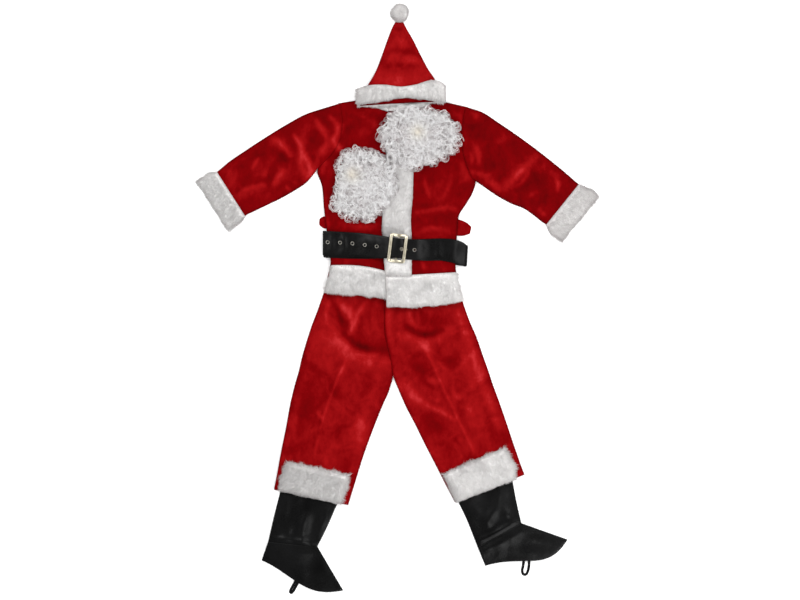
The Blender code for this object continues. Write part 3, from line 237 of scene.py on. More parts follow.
SLEEVE_RIGHT_CREASES = creases(
    (-176, 474, -156, 446, -166, 418, 7, 3.0, 1.0), (-167, 418, -162, 402, -150, 388, 7, 2.6, 1.0),
    (-217, 470, -197, 441, -183, 410, 8, 2.8, 0.8), (-183, 410, -196, 394, -218, 384, 8, 2.2, 0.4),
    (-186, 398, -206, 366, -218, 338, 8, 2.4, 0.4), (-269, 423, -252, 396, -251, 357, 7, 3.0, 1.05),
    (-248, 386, -236, 362, -226, 334, 8, 2.8, 0.95), (-251, 356, -246, 336, -237, 317, 7, 2.4, 0.65),
    (-232, 348, -228, 336, -230, 322, 10, 1.4, 0.5), (-214, 424, -222, 412, -236, 404, 14, -1.2, -0.12),
    (-290, 352, -300, 372, -318, 384, 14, -1.4, -0.3), (-322, 413, -299, 399, -279, 373, 8, 3.0, 0.9),
    (-362, 364, -370, 352, -376, 338, 5, 1.8, 0.7), (-343, 334, -344, 326, -348, 316, 7, 1.6, 0.6),
    (-299, 332, -313, 313, -323, 292, 8, 3.0, 0.9), (-418, 267, -390, 285, -357, 294, 7, 2.4, 0.7),
    (-357, 295, -348, 296, -342, 289, 7, 1.6, 0.5), (-288, 296, -286, 288, -280, 284, 6, 1.4, 0.6),
    (-236, 312, -228, 324, -216, 338, 9, 2.2, 0.6), (-436, 330, -428, 300, -430, 274, 10, 1.2, 0.25),
)
SLEEVE_LEFT_CREASES = creases(
    (201, 396, 211, 371, 210, 350, 7, 3.0, 0.8), (190, 378, 193, 366, 193, 350, 5, 1.8, 0.6),
    (192, 330, 225, 320, 246, 327, 7, 2.4, 0.65), (283, 292, 317, 326, 362, 372, 9, 3.0, 0.8),
    (300, 290, 326, 306, 346, 340, 6, 1.6, 0.55), (413, 309, 417, 296, 415, 282, 6, 1.8, 0.7),
    (341, 264, 354, 274, 366, 277, 6, 1.6, 0.5), (226, 316, 250, 296, 277, 276, 10, 1.6, 0.5),
    (257, 401, 274, 412, 290, 419, 9, 1.6, 0.35), (398, 330, 410, 322, 424, 320, 7, 1.4, 0.3),
    (368, 230, 376, 222, 384, 216, 6, 1.2, 0.4), (196, 482, 204, 474, 206, 462, 9, 1.6, 0.4),
)
TROUSER_RIGHT_CREASES = creases(
    (-178, -10, -186, -44, -177, -72, 6, 2.6, 0.65), (-156, -4, -133, -32, -121, -52, 8, 3.0, 0.9),
    (-121, -52, -120, -70, -123, -88, 6, 3.0, 0.75), (-88, -12, -104, -44, -121, -86, 7, 3.0, 0.9),
    (-148, -80, -112, -120, -33, -133, 15, -3.2, -0.75), (-156, -22, -148, -46, -140, -66, 10, -2.2, -0.5),
    (-186, -84, -154, -108, -122, -134, 20, 2.4, 0.6), (-132, -132, -92, -158, -38, -164, 16, 2.4, 0.6),
    (-135, -160, -153, -202, -172, -249, 4, 2.4, 0.65), (-172, -249, -194, -313, -204, -356, 4, 2.2, 0.65),
    (-204, -356, -210, -380, -215, -410, 4, 1.8, 0.45), (-196, -300, -200, -330, -206, -360, 5, -1.0, -0.5),
    (-210, -290, -202, -302, -194, -312, 5, 1.6, 0.75), (-220, -160, -190, -174, -166, -188, 12, 1.6, 0.45),
    (-56, -20, -63, -54, -47, -96, 8, 2.4, 0.45), (-74, -30, -84, -60, -70, -90, 10, 1.4, 0.2),
    (-166, -262, -158, -274, -152, -290, 10, 1.2, 0.4), (-104, -309, -94, -339, -106, -402, 12, 1.4, 0.45),
    (-250, -220, -262, -290, -276, -360, 7, 1.0, 0.3), (-44, -190, -60, -230, -84, -290, 12, 1.2, 0.3),
    (-214, -92, -190, -110, -160, -128, 26, 1.0, 0.3), (-130, -160, -96, -172, -60, -176, 24, 1.0, 0.3),
    (-236, -240, -250, -310, -262, -380, 24, -0.8, -0.22),
    (-160, -200, -166, -236, -180, -276, 16, -0.8, -0.25),
    (-98, -300, -104, -340, -126, -400, 24, 0.8, 0.25), (-150, -30, -118, -40, -100, -30, 18, 0.8, 0.25),
)
TROUSER_LEFT_CREASES = creases(
    (-24, -28, -21, -74, -19, -118, 8, 2.2, 0.75), (30, -30, 34, -56, 46, -72, 7, 2.4, 0.6),
    (51, -32, 54, -50, 54, -70, 5, 1.8, 0.4), (7, -88, 36, -104, 62, -118, 16, 3.0, 0.7),
    (62, -116, 70, -126, 76, -142, 9, 2.4, 0.7), (18, -72, 62, -94, 118, -84, 11, -2.6, -0.7),
    (78, -112, 104, -104, 137, -80, 12, 2.2, 0.5), (155, -34, 167, -69, 188, -116, 8, 2.0, 0.6),
    (186, -112, 200, -156, 216, -206, 11, 2.0, 0.65), (216, -206, 239, -271, 264, -332, 11, 1.6, 0.6),
    (76, -141, 95, -176, 109, -212, 4, 2.4, 0.5), (109, -210, 127, -248, 144, -283, 4, 2.4, 0.6),
    (144, -283, 154, -306, 166, -330, 4, 2.2, 0.55), (166, -330, 182, -364, 200, -404, 4, 2.0, 0.5),
    (76, -206, 90, -213, 105, -215, 8, 1.8, 0.75), (4, -220, 40, -250, 81, -278, 11, 2.0, 0.65),
    (81, -278, 113, -294, 148, -314, 6, 1.8, 0.6), (178, -150, 165, -176, 141, -192, 7, 1.6, 0.5),
    (107, -164, 116, -176, 124, -184, 5, 1.2, 0.45), (141, -231, 158, -256, 176, -238, 7, 1.8, 0.65),
    (183, -273, 185, -284, 186, -296, 8, 1.2, 0.5), (85, -256, 97, -262, 109, -262, 5, 1.0, 0.35),
    (120, -360, 150, -380, 178, -420, 9, 1.2, 0.3), (20, -160, 60, -190, 90, -240, 12, -1.4, -0.35),
    (10, -216, 30, -244, 62, -268, 24, 1.0, 0.3), (172, -90, 192, -220, 222, -350, 20, 1.0, 0.28),
    (76, -300, 106, -332, 140, -352, 20, -1.0, -0.3), (52, -44, 92, -60, 130, -52, 20, -1.0, -0.3),
    (92, -392, 112, -410, 140, -424, 20, 0.8, 0.3), (150, -290, 166, -320, 184, -350, 14, -0.8, -0.25),
    (96, -140, 128, -160, 150, -150, 16, -0.8, -0.25),
)
HAT_CREASES = creases(
    (-60, 574, 0, 566, 76, 578, 18, 1.0, 0.4), (-46, 598, 0, 606, 66, 602, 10, -0.8, -0.3),
    (-24, 642, 6, 646, 40, 636, 9, -0.8, -0.3), (-30, 622, 6, 624, 44, 618, 10, 0.9, 0.2),
    (-16, 668, 2, 672, 20, 668, 8, 0.8, 0.25), (-6, 704, 6, 700, 16, 704, 6, -0.7, -0.3),
)
BOOT_RIGHT_CREASES = creases(
    (-331, -508, -322, -555, -313, -602, 6, 2.6), (-292, -505, -290, -540, -300, -585, 10, 3.4),
    (-262, -505, -268, -560, -290, -622, 12, 3.1), (-236, -560, -248, -596, -246, -636, 11, 3.1),
    (-210, -520, -216, -570, -222, -620, 14, -2.1), (-186, -560, -200, -596, -214, -630, 8, 2.1),
    (-286, -480, -240, -490, -180, -505, 9, 1.8), (-322, -622, -270, -628, -222, -634, 7, 2.9),
)
BOOT_RIGHT_FOOT_CREASES = creases(
    (-330, -650, -270, -661, -216, -662, 5, 1.1), (-204, -664, -188, -692, -168, -722, 8, 0.8),
    (-250, -690, -244, -715, -232, -738, 12, 0.6), (-320, -676, -290, -696, -262, -712, 12, -0.5),
    (-284, -680, -276, -696, -280, -708, 10, 0.5),
)
BOOT_LEFT_CREASES = creases(
    (264, -486, 262, -520, 246, -556, 12, 2.9), (246, -556, 236, -575, 236, -590, 10, 2.2),
    (184, -520, 204, -552, 230, -578, 13, 2.6), (160, -510, 180, -560, 206, -622, 12, 2.0),
    (230, -480, 226, -520, 216, -550, 18, -2.0), (272, -540, 284, -560, 300, -580, 10, 1.8),
    (206, -632, 258, -606, 312, -574, 7, 2.9),
)
BOOT_LEFT_FOOT_CREASES = creases(
    (218, -660, 264, -638, 318, -606, 5, 1.1), (330, -655, 360, -662, 400, -656, 11, 0.7),
    (268, -690, 300, -694, 330, -690, 9, 0.6), (330, -620, 376, -628, 420, -640, 8, 0.6),
    (240, -676, 260, -680, 290, -672, 12, -0.4),
)
BELT_CREASES = creases(
    (-174, 118, -170, 142, -174, 168, 7, 1.5), (-143, 112, -138, 138, -142, 168, 7, 2.3),
    (-110, 112, -106, 136, -108, 166, 7, -0.8), (-78, 112, -75, 138, -77, 166, 7, 0.9),
    (-46, 108, -43, 132, -45, 160, 7, -0.8), (66, 102, 72, 128, 68, 152, 12, 1.0),
    (102, 100, 106, 126, 104, 152, 11, 1.6), (130, 98, 138, 124, 136, 150, 12, 0.9),
)

# Fur trims: the cut, how thick the fur stands, the way it lies in degrees, and how loose it is at the
# cut's left, right, first and last edges, from a clean seam at 0 to tufts at 1. Painted shade is how much
# darker its fur is painted. A covered trim lies under another and has fur at its rim alone. A joined one
# runs on into another trim at its first edge.
ANKLE_FURS = [
    Trim("trouser_fur_right", LEG_FUR_RIGHT, 7.5, 235, 1.0, 1.0, 0.9, 0.2, ["trouser_front_right"], 0.5),
    Trim("trouser_fur_left", LEG_FUR_LEFT, 7.5, 300, 0.8, 1.0, 0.9, 0.2, ["trouser_front_left"], 0.4),
]
UNDER_FURS = [
    Trim(
        "hem_fur_back", HEM_BACK, 5.0, 270, 0.5, 0.5, 0.5, 0.2,
        ["floor", "trouser_front_right"], covered=True,
    ),
    Trim("cuff_fur_right_under", CUFF_RIGHT, 5.0, 210, 0.5, 0.5, 0.1, 0.4, ["floor"], covered=True),
    Trim("cuff_fur_left_under", CUFF_LEFT, 5.0, 330, 0.5, 0.5, 0.1, 0.4, ["floor"], covered=True),
]
COLLAR_BACK_FUR = Trim("collar_fur_back", COLLAR_BACK, 5.0, 90, 0.4, 0.4, 0.2, 0.5, ["jacket_back"])
FRONT_FURS = [
    Trim("hem_fur_right", HEM_RIGHT, 7.5, 265, 1.0, 0.2, 0.55, 0.3, ["jacket_front_right"]),
    Trim("hem_fur_left", HEM_LEFT, 7.5, 285, 0.2, 1.0, 0.42, 0.3, ["jacket_front_left"]),
    Trim(
        "placket_fur", PLACKET, 7.5, 268, 0.2, 0.2, 0.6, 0.5,
        ["jacket_front_left", "jacket_front_right"], 0.3, joined=True,
    ),
    Trim("cuff_fur_right", CUFF_RIGHT, 7.5, 215, 0.5, 0.5, 0.1, 0.4, ["sleeve_front_right"], 0.2),
    Trim("cuff_fur_left", CUFF_LEFT, 7.5, 325, 0.5, 0.5, 0.1, 0.4, ["sleeve_front_left"], 0.85),
    Trim("collar_fur_right", COLLAR_RIGHT, 5.0, 120, 0.4, 0.4, 0.3, 0.5, ["jacket_front_right"], joined=True),
    Trim("collar_fur_left", COLLAR_LEFT, 5.0, 60, 0.4, 0.4, 0.3, 0.5, ["jacket_front_left"], joined=True),
]
BRIM_BACK_FUR = Trim(
    "hat_brim_fur_back", BRIM_BACK, 5.0, 270, 0.5, 0.6, 0.4, 0.4,
    ["collar_fur_back"], covered=True,
)
BRIM_FRONT_FUR = Trim("hat_brim_fur_front", BRIM_FRONT, 7.5, 250, 0.3, 0.4, 1.0, 0.5, ["hat_front"], 0.4)

SEAM_EASE = 14.0  # how far from its edges a cloth reaches its full thickness and relief
FINE_SPACING = 4.0  # a cloth with points no further apart than this has a coarser underside
EDGE_SHADE_WIDTH = 4.0
RIPPLE_LENGTH = 46.0
COVERED_RIM = 15.0  # how far in from its edges a covered trim bears fur
FUR_SPACING = 4.0
FUR_RAMP = 9.0  # how far from its edges a trim's backing reaches its full thickness
FUR_SUNK = 1.5  # how deep the hairs' roots are in their backing
FUR_EDGE_REACH = 7.0  # how far in from an edge it turns the hairs outwards
# How far in from the edges the painted shade reaches, on the hairs and on the backing
FUR_RIM_WIDTH = 6.5
BACKING_RIM_WIDTH = 7.5
POMPOM_FUR = 5.0
POMPOM_FOOT = 0.4
POMPOM_HAIRS = 5200

MOUND_EDGE = 8.0
MOUND_MIDDLE = 0.04  # the share of the reach at a mound's innermost ring
MOUND_TRIM = 19.0  # how far the matted cap stays inside the curls' reach
CURL_DEPTH = 5.0
STRAND_FOOT = 0.8
PARTING = 15.0  # how near to the parting a ringlet may lie
CREAM_REACH = 19.0
GOLDEN_ANGLE = 2.39996  # each ringlet's turn from the last, which spreads them evenly

BUCKLE_WIDTH = 47.0
BUCKLE_HEIGHT = 75.0
BUCKLE_BAR = 8.0
BUCKLE_CORNER = 3.2
BUCKLE_FLATNESS = 0.5
BUCKLE_TILT = math.radians(-7.0)
BUCKLE_CENTRE = (0.0, 131.0)
BAR_DIAMETER = 3.0
PRONG_DIAMETER = 2.4
EYELET_HOLE = 6.4
EYELET_RIM = 11.0
ELASTIC_WIDTH = 7.0
ELASTIC_THICK = 1.5
BELT_BACK_THICK = 2.1


class Value:
    """A shader value that takes part in Python sums. Each operator adds a Math node."""

    def __init__(self, finish, socket):
        self.finish, self.socket = finish, socket

    def __add__(self, other):
        return self.finish.math("ADD", self, other)

    def __sub__(self, other):
        return self.finish.math("SUBTRACT", self, other)

    def __rsub__(self, other):
        return self.finish.math("SUBTRACT", other, self)

    def __mul__(self, other):
        return self.finish.math("MULTIPLY", self, other)

    __radd__ = __add__
    __rmul__ = __mul__


class NodeTree:
    """The nodes of a material or of the light from all round."""

    def __init__(self, tree, shader):
        self.tree, self.shader = tree, tree.nodes[shader]

    def node(self, kind, settings=None, inputs=None, output=0):
        """One node: its settings first, then the values or links of its sockets."""
        node = self.tree.nodes.new(kind)
        for name, value in (settings or {}).items():
            if name == "stops":
                self.set_stops(node.color_ramp, value)
            else:
                setattr(node, name, value)
        for socket, value in (inputs or {}).items():
            if isinstance(value, Value):
                self.tree.links.new(value.socket, node.inputs[socket])
            else:
                node.inputs[socket].default_value = value
        return Value(self, node.outputs[output])

    @staticmethod
    def set_stops(ramp, stops):
        while len(ramp.elements) < len(stops):
            ramp.elements.new(1.0)
        for element, (place, colour) in zip(ramp.elements, stops):
            element.position, element.color = place, (*colour, 1.0)

    def feed(self, socket, value):
        self.tree.links.new(value.socket, self.shader.inputs[socket])


class Finish(NodeTree):
    """A material, with the nodes behind it."""

    def __init__(self, name, **constants):
        self.material = bpy.data.materials.new(name)
        self.material.use_nodes = True
        super().__init__(self.material.node_tree, "Principled BSDF")
        for socket, value in constants.items():
            self.shader.inputs[socket.replace("_", " ")].default_value = value

    def math(self, operation, *terms):
        return self.node("ShaderNodeMath", {"operation": operation}, dict(enumerate(terms)))

    def colours(self, value, *stops):
        """A colour for each value from 0 to 1, between stops of a place and a colour."""
        return self.node("ShaderNodeValToRGB", {"stops": stops}, {0: value})

    def tinted(self, colour, tint, factor):
        """A colour multiplied by a tint, as far as the factor says."""
        settings = {"data_type": "RGBA", "blend_type": "MULTIPLY"}
        return self.node("ShaderNodeMix", settings, {0: factor, 6: colour, 7: (*tint, 1.0)}, output=2)

    def place(self, stretch=None):
        """Where a point of the piece is, in metres, stretched along each axis if asked."""
        where = self.node("ShaderNodeTexCoord", output=3)
        if stretch is None:
            return where
        return self.node("ShaderNodeVectorMath", {"operation": "MULTIPLY"}, {0: where, 1: stretch})

    def noise(self, per_metre, detail=2.0, roughness=0.5, distortion=0.0, stretch=None):
        inputs = {"Vector": self.place(stretch), "Scale": per_metre, "Detail": detail}
        inputs |= {"Roughness": roughness, "Distortion": distortion}
        return self.node("ShaderNodeTexNoise", {}, inputs)

    def grain(self, per_metre):
        """The distance to the middle of the nearest cell of a pebbled surface."""
        return self.node("ShaderNodeTexVoronoi", {}, {"Vector": self.place(), "Scale": per_metre})

    def attribute(self, name):
        return self.node("ShaderNodeAttribute", {"attribute_name": name}, output=2)

    def bump(self, height, distance, strength):
        inputs = {"Strength": strength, "Distance": distance, "Height": height}
        self.feed("Normal", self.node("ShaderNodeBump", {}, inputs))


def plush_finish(look):
    """Velour: a short nap that lies in lighter and darker patches, with fine pile, painted highlights
    and painted shade.
    """
    made = Finish(
        "red plush", Roughness=0.9, Specular_IOR_Level=0.03, Sheen_Weight=look.sheen, Sheen_Roughness=0.4,
        Sheen_Tint=(1.0, 0.05, 0.03, 1.0),
    )
    clouds = made.noise(19.0, 3.0, roughness=0.55, distortion=0.7)
    brushed = made.noise(95.0, 3.0, roughness=0.6, stretch=(1.0, 0.55, 1.0))
    pile = made.noise(900.0, 1.0, stretch=(1.0, 0.7, 1.0))
    # The nap attribute brings the painted highlights and painted shade laid in with the cloth; the noises are
    # the nap's own patches and pile.
    nap = made.attribute("nap") + (clouds - 0.5) * 0.65 + (brushed - 0.5) * 0.3 + (pile - 0.5) * 0.2
    # The darkest stop shows painted shade as well as dark nap; highlight and glint are painted highlights.
    tones = (look.shade, look.colour, look.light, look.highlight, look.glint)
    made.feed("Base Color", made.colours(nap, *zip((0.0, 0.38, 0.70, 0.90, 1.0), tones)))
    made.bump(pile * 0.5 + brushed * 0.9, 0.0012, 0.45)
    return made.material


def fur_finish(look):
    """Faux fur: painted shade between the tufts and at the roots, white at their tips."""
    made = Finish("white fur", Roughness=0.9, Specular_IOR_Level=0.05)
    clumps = made.noise(60.0, 3.0, roughness=0.6)
    drifts = made.noise(18.0)
    # Painted shade towards each hair's root and along the trims' edges, with random clumps and drifts.
    depth = made.attribute("tip") * 0.3 + made.attribute("tone") * 0.4 + clumps * 0.3 + drifts * 0.3
    stops = (0.0, look.painted_root_shade), (0.5, look.colour), (1.0, look.tip_colour)
    made.feed("Base Color", made.colours(depth, *stops))
    return made.material


def backing_finish(look):
    """The fur's own knitted backing, which shows between the tufts and from below."""
    made = Finish("fur backing", Roughness=0.9, Specular_IOR_Level=0.1)
    knit = made.noise(700.0, stretch=(1.0, 0.4, 1.0))
    clumps = made.noise(80.0, 3.0)
    # Darker than the fur: painted shade for the backing under the hairs, and more painted shade at its rim.
    root, tip = [0.85 * c for c in look.painted_root_shade], [0.74 * c for c in look.colour]
    tone = clumps * 0.7 + knit * 0.5 - made.attribute("rim") * 0.8
    made.feed("Base Color", made.colours(tone, (0.0, root), (0.5, tip)))
    made.bump(knit + clumps * 2.0, 0.001, 0.6)
    return made.material


def curl_finish(look):
    """Synthetic hair: glossy white strands, painted shade deep among them and cream over the cap."""
    made = Finish("white curls", Roughness=0.38, Specular_IOR_Level=0.5)
    # Painted light: painted shade on the low strands and the cap's outer parts, a painted highlight on the
    # strands up top, and tone that differs at random.
    shade = made.attribute("tone") * 0.95 + made.attribute("depth") * 1.05 - 0.46
    colour = made.colours(shade, (0.0, look.shade), (0.55, look.colour), (1.0, look.highlight))
    made.feed("Base Color", made.tinted(colour, look.cream, made.attribute("cream")))
    return made.material


def leatherette_finish(look):
    """Satin coated cloth: fine pebbled grain, soft wrinkles and uneven gloss."""
    made = Finish("black leatherette", Specular_IOR_Level=0.065, Coat_Roughness=0.22)
    pebble = made.grain(820.0)
    wrinkle = made.noise(34.0, 3.0, roughness=0.55, distortion=0.6)
    smear, dust = made.noise(12.0), made.noise(300.0)
    made.feed("Base Color", made.colours(smear * 0.6 + dust * 0.4, (0.3, look.colour), (0.75, look.rubbed)))
    made.feed("Roughness", smear * 0.16 + dust * 0.05 + (look.roughness - 0.1))
    made.feed("Coat Weight", wrinkle * 0.03)
    made.bump(wrinkle * 1.2 + pebble * 0.06, 0.0015, 0.4)
    return made.material


def elastic_finish():
    """Woven elastic: fine ribs along the tape."""
    made = Finish("black elastic", Roughness=0.85, Specular_IOR_Level=0.08)
    stops = (0.2, (0.002, 0.002, 0.002)), (0.9, (0.008, 0.008, 0.009))
    made.feed("Base Color", made.colours(made.noise(1400.0, 1.0), *stops))
    made.bump(made.grain(1100.0), 0.0006, 0.7)
    return made.material


def metal_finish(name, look, dulled):
    """Pale gold plating, scuffed and a little dulled, or dulled and greyed right over."""
    made = Finish(name, Metallic=1.0)
    smear = made.noise(70.0, 3.0)
    scuffs = made.noise(900.0, stretch=(1.0, 0.2, 1.0))
    shade, colour = (
        [(1 - 0.4 * dulled) * (c + dulled * (max(tone) - c)) for c in tone]
        for tone in (look.shade, look.colour)
    )
    made.feed("Base Color", made.colours(smear * 0.7 + scuffs * 0.3, (0.3, shade), (0.7, colour)))
    made.feed("Roughness", smear * 0.12 + scuffs * 0.08 + (look.roughness - 0.08 + 0.15 * dulled))
    made.bump(scuffs, 0.0002, 0.3)
    return made.material


FINISHES = {
    "red plush": ("red_plush", lambda suit: plush_finish(suit.plush)),
    "white fur": ("white_fur", lambda suit: fur_finish(suit.fur)),
    "fur backing": ("white_fur", lambda suit: backing_finish(suit.fur)),
    "white curls": ("white_curls", lambda suit: curl_finish(suit.curls)),
    "black leatherette": ("black_leatherette", lambda suit: leatherette_finish(suit.leatherette)),
    "black elastic": ("black_elastic", lambda suit: elastic_finish()),
    "pale gold": ("pale_gold", lambda suit: metal_finish("pale gold", suit.metal, 0.0)),
    "dull brass": ("pale_gold", lambda suit: metal_finish("dull brass", suit.metal, 0.5)),
}


def unit(vectors):
    return vectors / np.linalg.norm(vectors, axis=-1, keepdims=True)


def at_height(plan, height):
    """Points on a plan, each raised to its height."""
    return np.concatenate([plan, height[..., None]], axis=-1)


def gaps(grid, axis):
    """The distances between neighbouring points along one axis of a grid."""
    return np.linalg.norm(np.diff(grid, axis=axis), axis=-1)


def mean_size(grid):
    """The mean width and length of a grid of points."""
    return gaps(grid, 1).sum(1).mean(), gaps(grid, 0).sum(0).mean()


def area_of(grid):
    """The area of a grid of points in space."""
    a, b = grid[1:, 1:] - grid[:-1, :-1], grid[1:, :-1] - grid[:-1, 1:]
    return np.linalg.norm(np.cross(a, b), axis=2).sum() / 2


def sampled(surface, u, v):
    """Points of a grid of points, at shares u of its columns and v of its rows."""
    rows, columns = surface.shape[:2]
    x, y = u * (columns - 1), v * (rows - 1)
    i, j = np.minimum(x.astype(int), columns - 2), np.minimum(y.astype(int), rows - 2)
    s, t = (x - i)[..., None], (y - j)[..., None]
    low = surface[j, i] * (1 - s) + surface[j, i + 1] * s
    high = surface[j + 1, i] * (1 - s) + surface[j + 1, i + 1] * s
    return low * (1 - t) + high * t


def resampled(surface, u, v):
    """A grid of points taken at every pair of shares u and v."""
    v, u = np.meshgrid(v, u, indexing="ij")
    return sampled(surface, u, v)


def neighbours(grid, **padding):
    """The values above, below, left and right of each of a grid's own."""
    wide = np.pad(grid, 1, **padding)
    return np.stack([wide[:-2, 1:-1], wide[2:, 1:-1], wide[1:-1, :-2], wide[1:-1, 2:]])


def filled(grid):
    """A grid whose gaps take the value of their nearest neighbour with one."""
    if np.isnan(grid).all():
        raise ValueError("no plumb line meets the node")
    while np.isnan(grid).any():
        near = neighbours(grid, constant_values=np.nan)
        known = ~np.isnan(near)
        mean = np.where(known, near, 0.0).sum(0) / np.maximum(known.sum(0), 1)
        grid = np.where(np.isnan(grid) & known.any(0), mean, grid)
    return grid


def softened(grid, spacing, reach):
    """A grid of heights with everything finer than reach eased away."""
    for _ in range(max(1, round(2 * (reach / spacing) ** 2))):
        wide = np.pad(grid, 1, mode="edge")
        across = (wide[1:-1, :-2] + 2 * grid + wide[1:-1, 2:]) / 4
        wide = np.pad(across, 1, mode="edge")
        grid = (wide[:-2, 1:-1] + 2 * across + wide[2:, 1:-1]) / 4
    return grid


class Pile:
    """How high the finished pieces reach, on a fine grid over the floor."""

    CELL = 2.0
    HALF_SPAN = np.array([560.0, 800.0])

    def __init__(self):
        self.height = np.zeros((2 * self.HALF_SPAN / self.CELL).astype(int))

    def cells(self, plan):
        return np.moveaxis(((plan + self.HALF_SPAN) / self.CELL).astype(int), -1, 0)

    def add(self, surface):
        """Raises the grid to a surface, a grid of points a row at a time."""
        parts = math.ceil(max(gaps(surface, axis).max() for axis in (0, 1)) / self.CELL)
        v, u = (np.linspace(0, 1, (count - 1) * parts + 1) for count in surface.shape[:2])
        fine = resampled(surface, u, v)
        i, j = self.cells(fine[..., :2])
        np.maximum.at(self.height, (i.ravel(), j.ravel()), fine[..., 2].ravel())

    def top(self, plan):
        """The highest surface in the cells at and around each point of a plan."""
        i, j = self.cells(plan)
        return np.max([self.height[i + di, j + dj] for di in (-1, 0, 1) for dj in (-1, 0, 1)], axis=0)

    def clear(self, plan, under, gap=0.15, passes=6):
        """Heights raised where they would dip into the pile, with soft shoulders."""
        top = self.top(plan)
        raised = np.maximum(under, np.where(top > 0, top + gap, 0.0))
        for _ in range(passes):
            raised = np.maximum(raised, neighbours(raised, mode="edge").sum(0) / 4)
        return raised


PILE = Pile()


class Form:
    """A CAD node's own surface, which gives a finer piece its height."""

    HIGH = 300.0

    def __init__(self, node):
        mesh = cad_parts[node].data
        points = [tuple(1000.0 * x for x in v.co) for v in mesh.vertices]
        self.points = np.array(points)
        self.tree = BVHTree.FromPolygons(points, [tuple(p.vertices) for p in mesh.polygons])

    def heights(self, plan, upper=False):
        """Where a plumb line meets the node from above or below, carried on past its edges."""
        start, way = (self.HIGH, -1.0) if upper else (-self.HIGH, 1.0)
        flat = plan.reshape(-1, 2)
        found = np.full(len(flat), np.nan)
        for k, (x, y) in enumerate(flat):
            hit = self.tree.ray_cast(Vector((x, y, start)), Vector((0.0, 0.0, way)))[0]
            if hit is not None:
                found[k] = hit.z
        return filled(found.reshape(plan.shape[:-1]))

    def underside(self, plan, spacing, reach):
        """The height to lay a piece at: the node's own underside, eased."""
        return softened(self.heights(plan), spacing, reach)


def smooth_through(knots, values, at):
    """A smooth curve through a table's values, read at the given places."""
    slopes = np.gradient(values, knots, axis=0)
    i = np.clip(np.searchsorted(knots, at, side="right") - 1, 0, len(knots) - 2)
    span = (knots[i + 1] - knots[i])[:, None]
    t = (at - knots[i])[:, None] / span
    start = (1 + 2 * t) * (1 - t) ** 2 * values[i] + t * (1 - t) ** 2 * span * slopes[i]
    end = t * t * (3 - 2 * t) * values[i + 1] + t * t * (t - 1) * span * slopes[i + 1]
    return start + end


def plan_of(cut, spacing):
    """The plan of a cut piece, as a grid of points about spacing apart, in an even number of steps."""
    table = np.array(cut, float)
    steps = np.diff(table[:, :4], axis=0)
    lengths = (np.hypot(steps[:, 0], steps[:, 1]) + np.hypot(steps[:, 2], steps[:, 3])) / 2
    knots = np.concatenate([[0.0], np.cumsum(lengths)])
    widths = np.hypot(table[:, 2] - table[:, 0], table[:, 3] - table[:, 1])
    rows, columns = (max(4, 2 * round(size / spacing / 2)) for size in (knots[-1], widths.mean()))
    row = smooth_through(knots, table, np.linspace(0, knots[-1], rows + 1))[:, None]
    left, right, bow, skew = row[..., 0:2], row[..., 2:4], row[..., 4:5], row[..., 5:6]
    across = unit(right - left)
    outward = np.stack([-across[..., 1], across[..., 0]], axis=2)
    u = np.linspace(0, 1, columns + 1)[None, :, None]
    return left + (right - left) * u + outward * bow * np.sin(math.pi * u**skew)


def crease_lift(plan, folds):
    """The height and the painted light that creases add at each point of a plan: a painted highlight
    along each ridge, painted shade along each trough.
    """
    height, shine = np.zeros(plan.shape[:-1]), np.zeros(plan.shape[:-1])
    t = np.linspace(0, 1, 13)[:, None]
    for fold in folds:
        start, middle, end = np.reshape(fold[:6], (3, 2))
        handle = 2 * middle - (start + end) / 2
        line = (1 - t) ** 2 * start + 2 * t * (1 - t) * handle + t**2 * end
        nearest, share = np.full(height.shape, np.inf), np.zeros(height.shape)
        for k, along in enumerate(np.diff(line, axis=0)):
            held = np.clip(((plan - line[k]) @ along) / (along @ along), 0, 1)
            away = np.linalg.norm(plan - line[k] - held[..., None] * along, axis=-1)
            closer = away < nearest
            nearest[closer], share[closer] = away[closer], (k + held[closer]) / (len(line) - 1)
        taper = np.sqrt(np.maximum(np.sin(math.pi * (0.06 + 0.88 * share)), 0))
        ridge = np.exp(-((nearest / fold.width) ** 2))
        valley = np.exp(-(((nearest - 2.1 * fold.width) / fold.width) ** 2))
        height += fold.height * taper * (ridge - 0.35 * valley)
        shine += fold.shine * taper * np.exp(-((nearest / (0.95 * fold.width)) ** 2))
    return height, shine


def ripples(plan, seed, length, height, *more):
    """Small uneven undulations about length long, the same ones each time, and more on top of them."""
    draw = np.random.default_rng(seed)
    total, waves = np.zeros(plan.shape[:-1]), 10
    for _ in range(waves):
        turn, phase, sway, span = draw.uniform(0, FULL_TURN, 4)
        wave = length * (0.6 + 0.25 * span)
        along = plan @ [math.cos(turn), math.sin(turn)]
        aside = plan @ [-math.sin(turn), math.cos(turn)]
        total += np.sin(FULL_TURN * along / wave + phase + 1.2 * np.sin(aside / wave * 2.3 + sway))
    total = total * height / math.sqrt(waves)
    return total + ripples(plan, seed + 1, *more) if more else total


def steps_from_edge(shape, spacing):
    """How far each point of a grid is from its nearest edge."""
    rows, columns = np.indices(shape)
    return spacing * np.min([rows, shape[0] - 1 - rows, columns, shape[1] - 1 - columns], axis=0)


def mesh_of(name, points, faces):
    """A mesh in metres from points in millimetres."""
    mesh = bpy.data.meshes.new(name)
    mesh.from_pydata((np.asarray(points) * MM).tolist(), [], faces)
    return mesh


def linked(name, data):
    """A new object in the scene, with its mesh, lamp or camera."""
    obj = bpy.data.objects.new(name, data)
    bpy.context.scene.collection.objects.link(obj)
    return obj


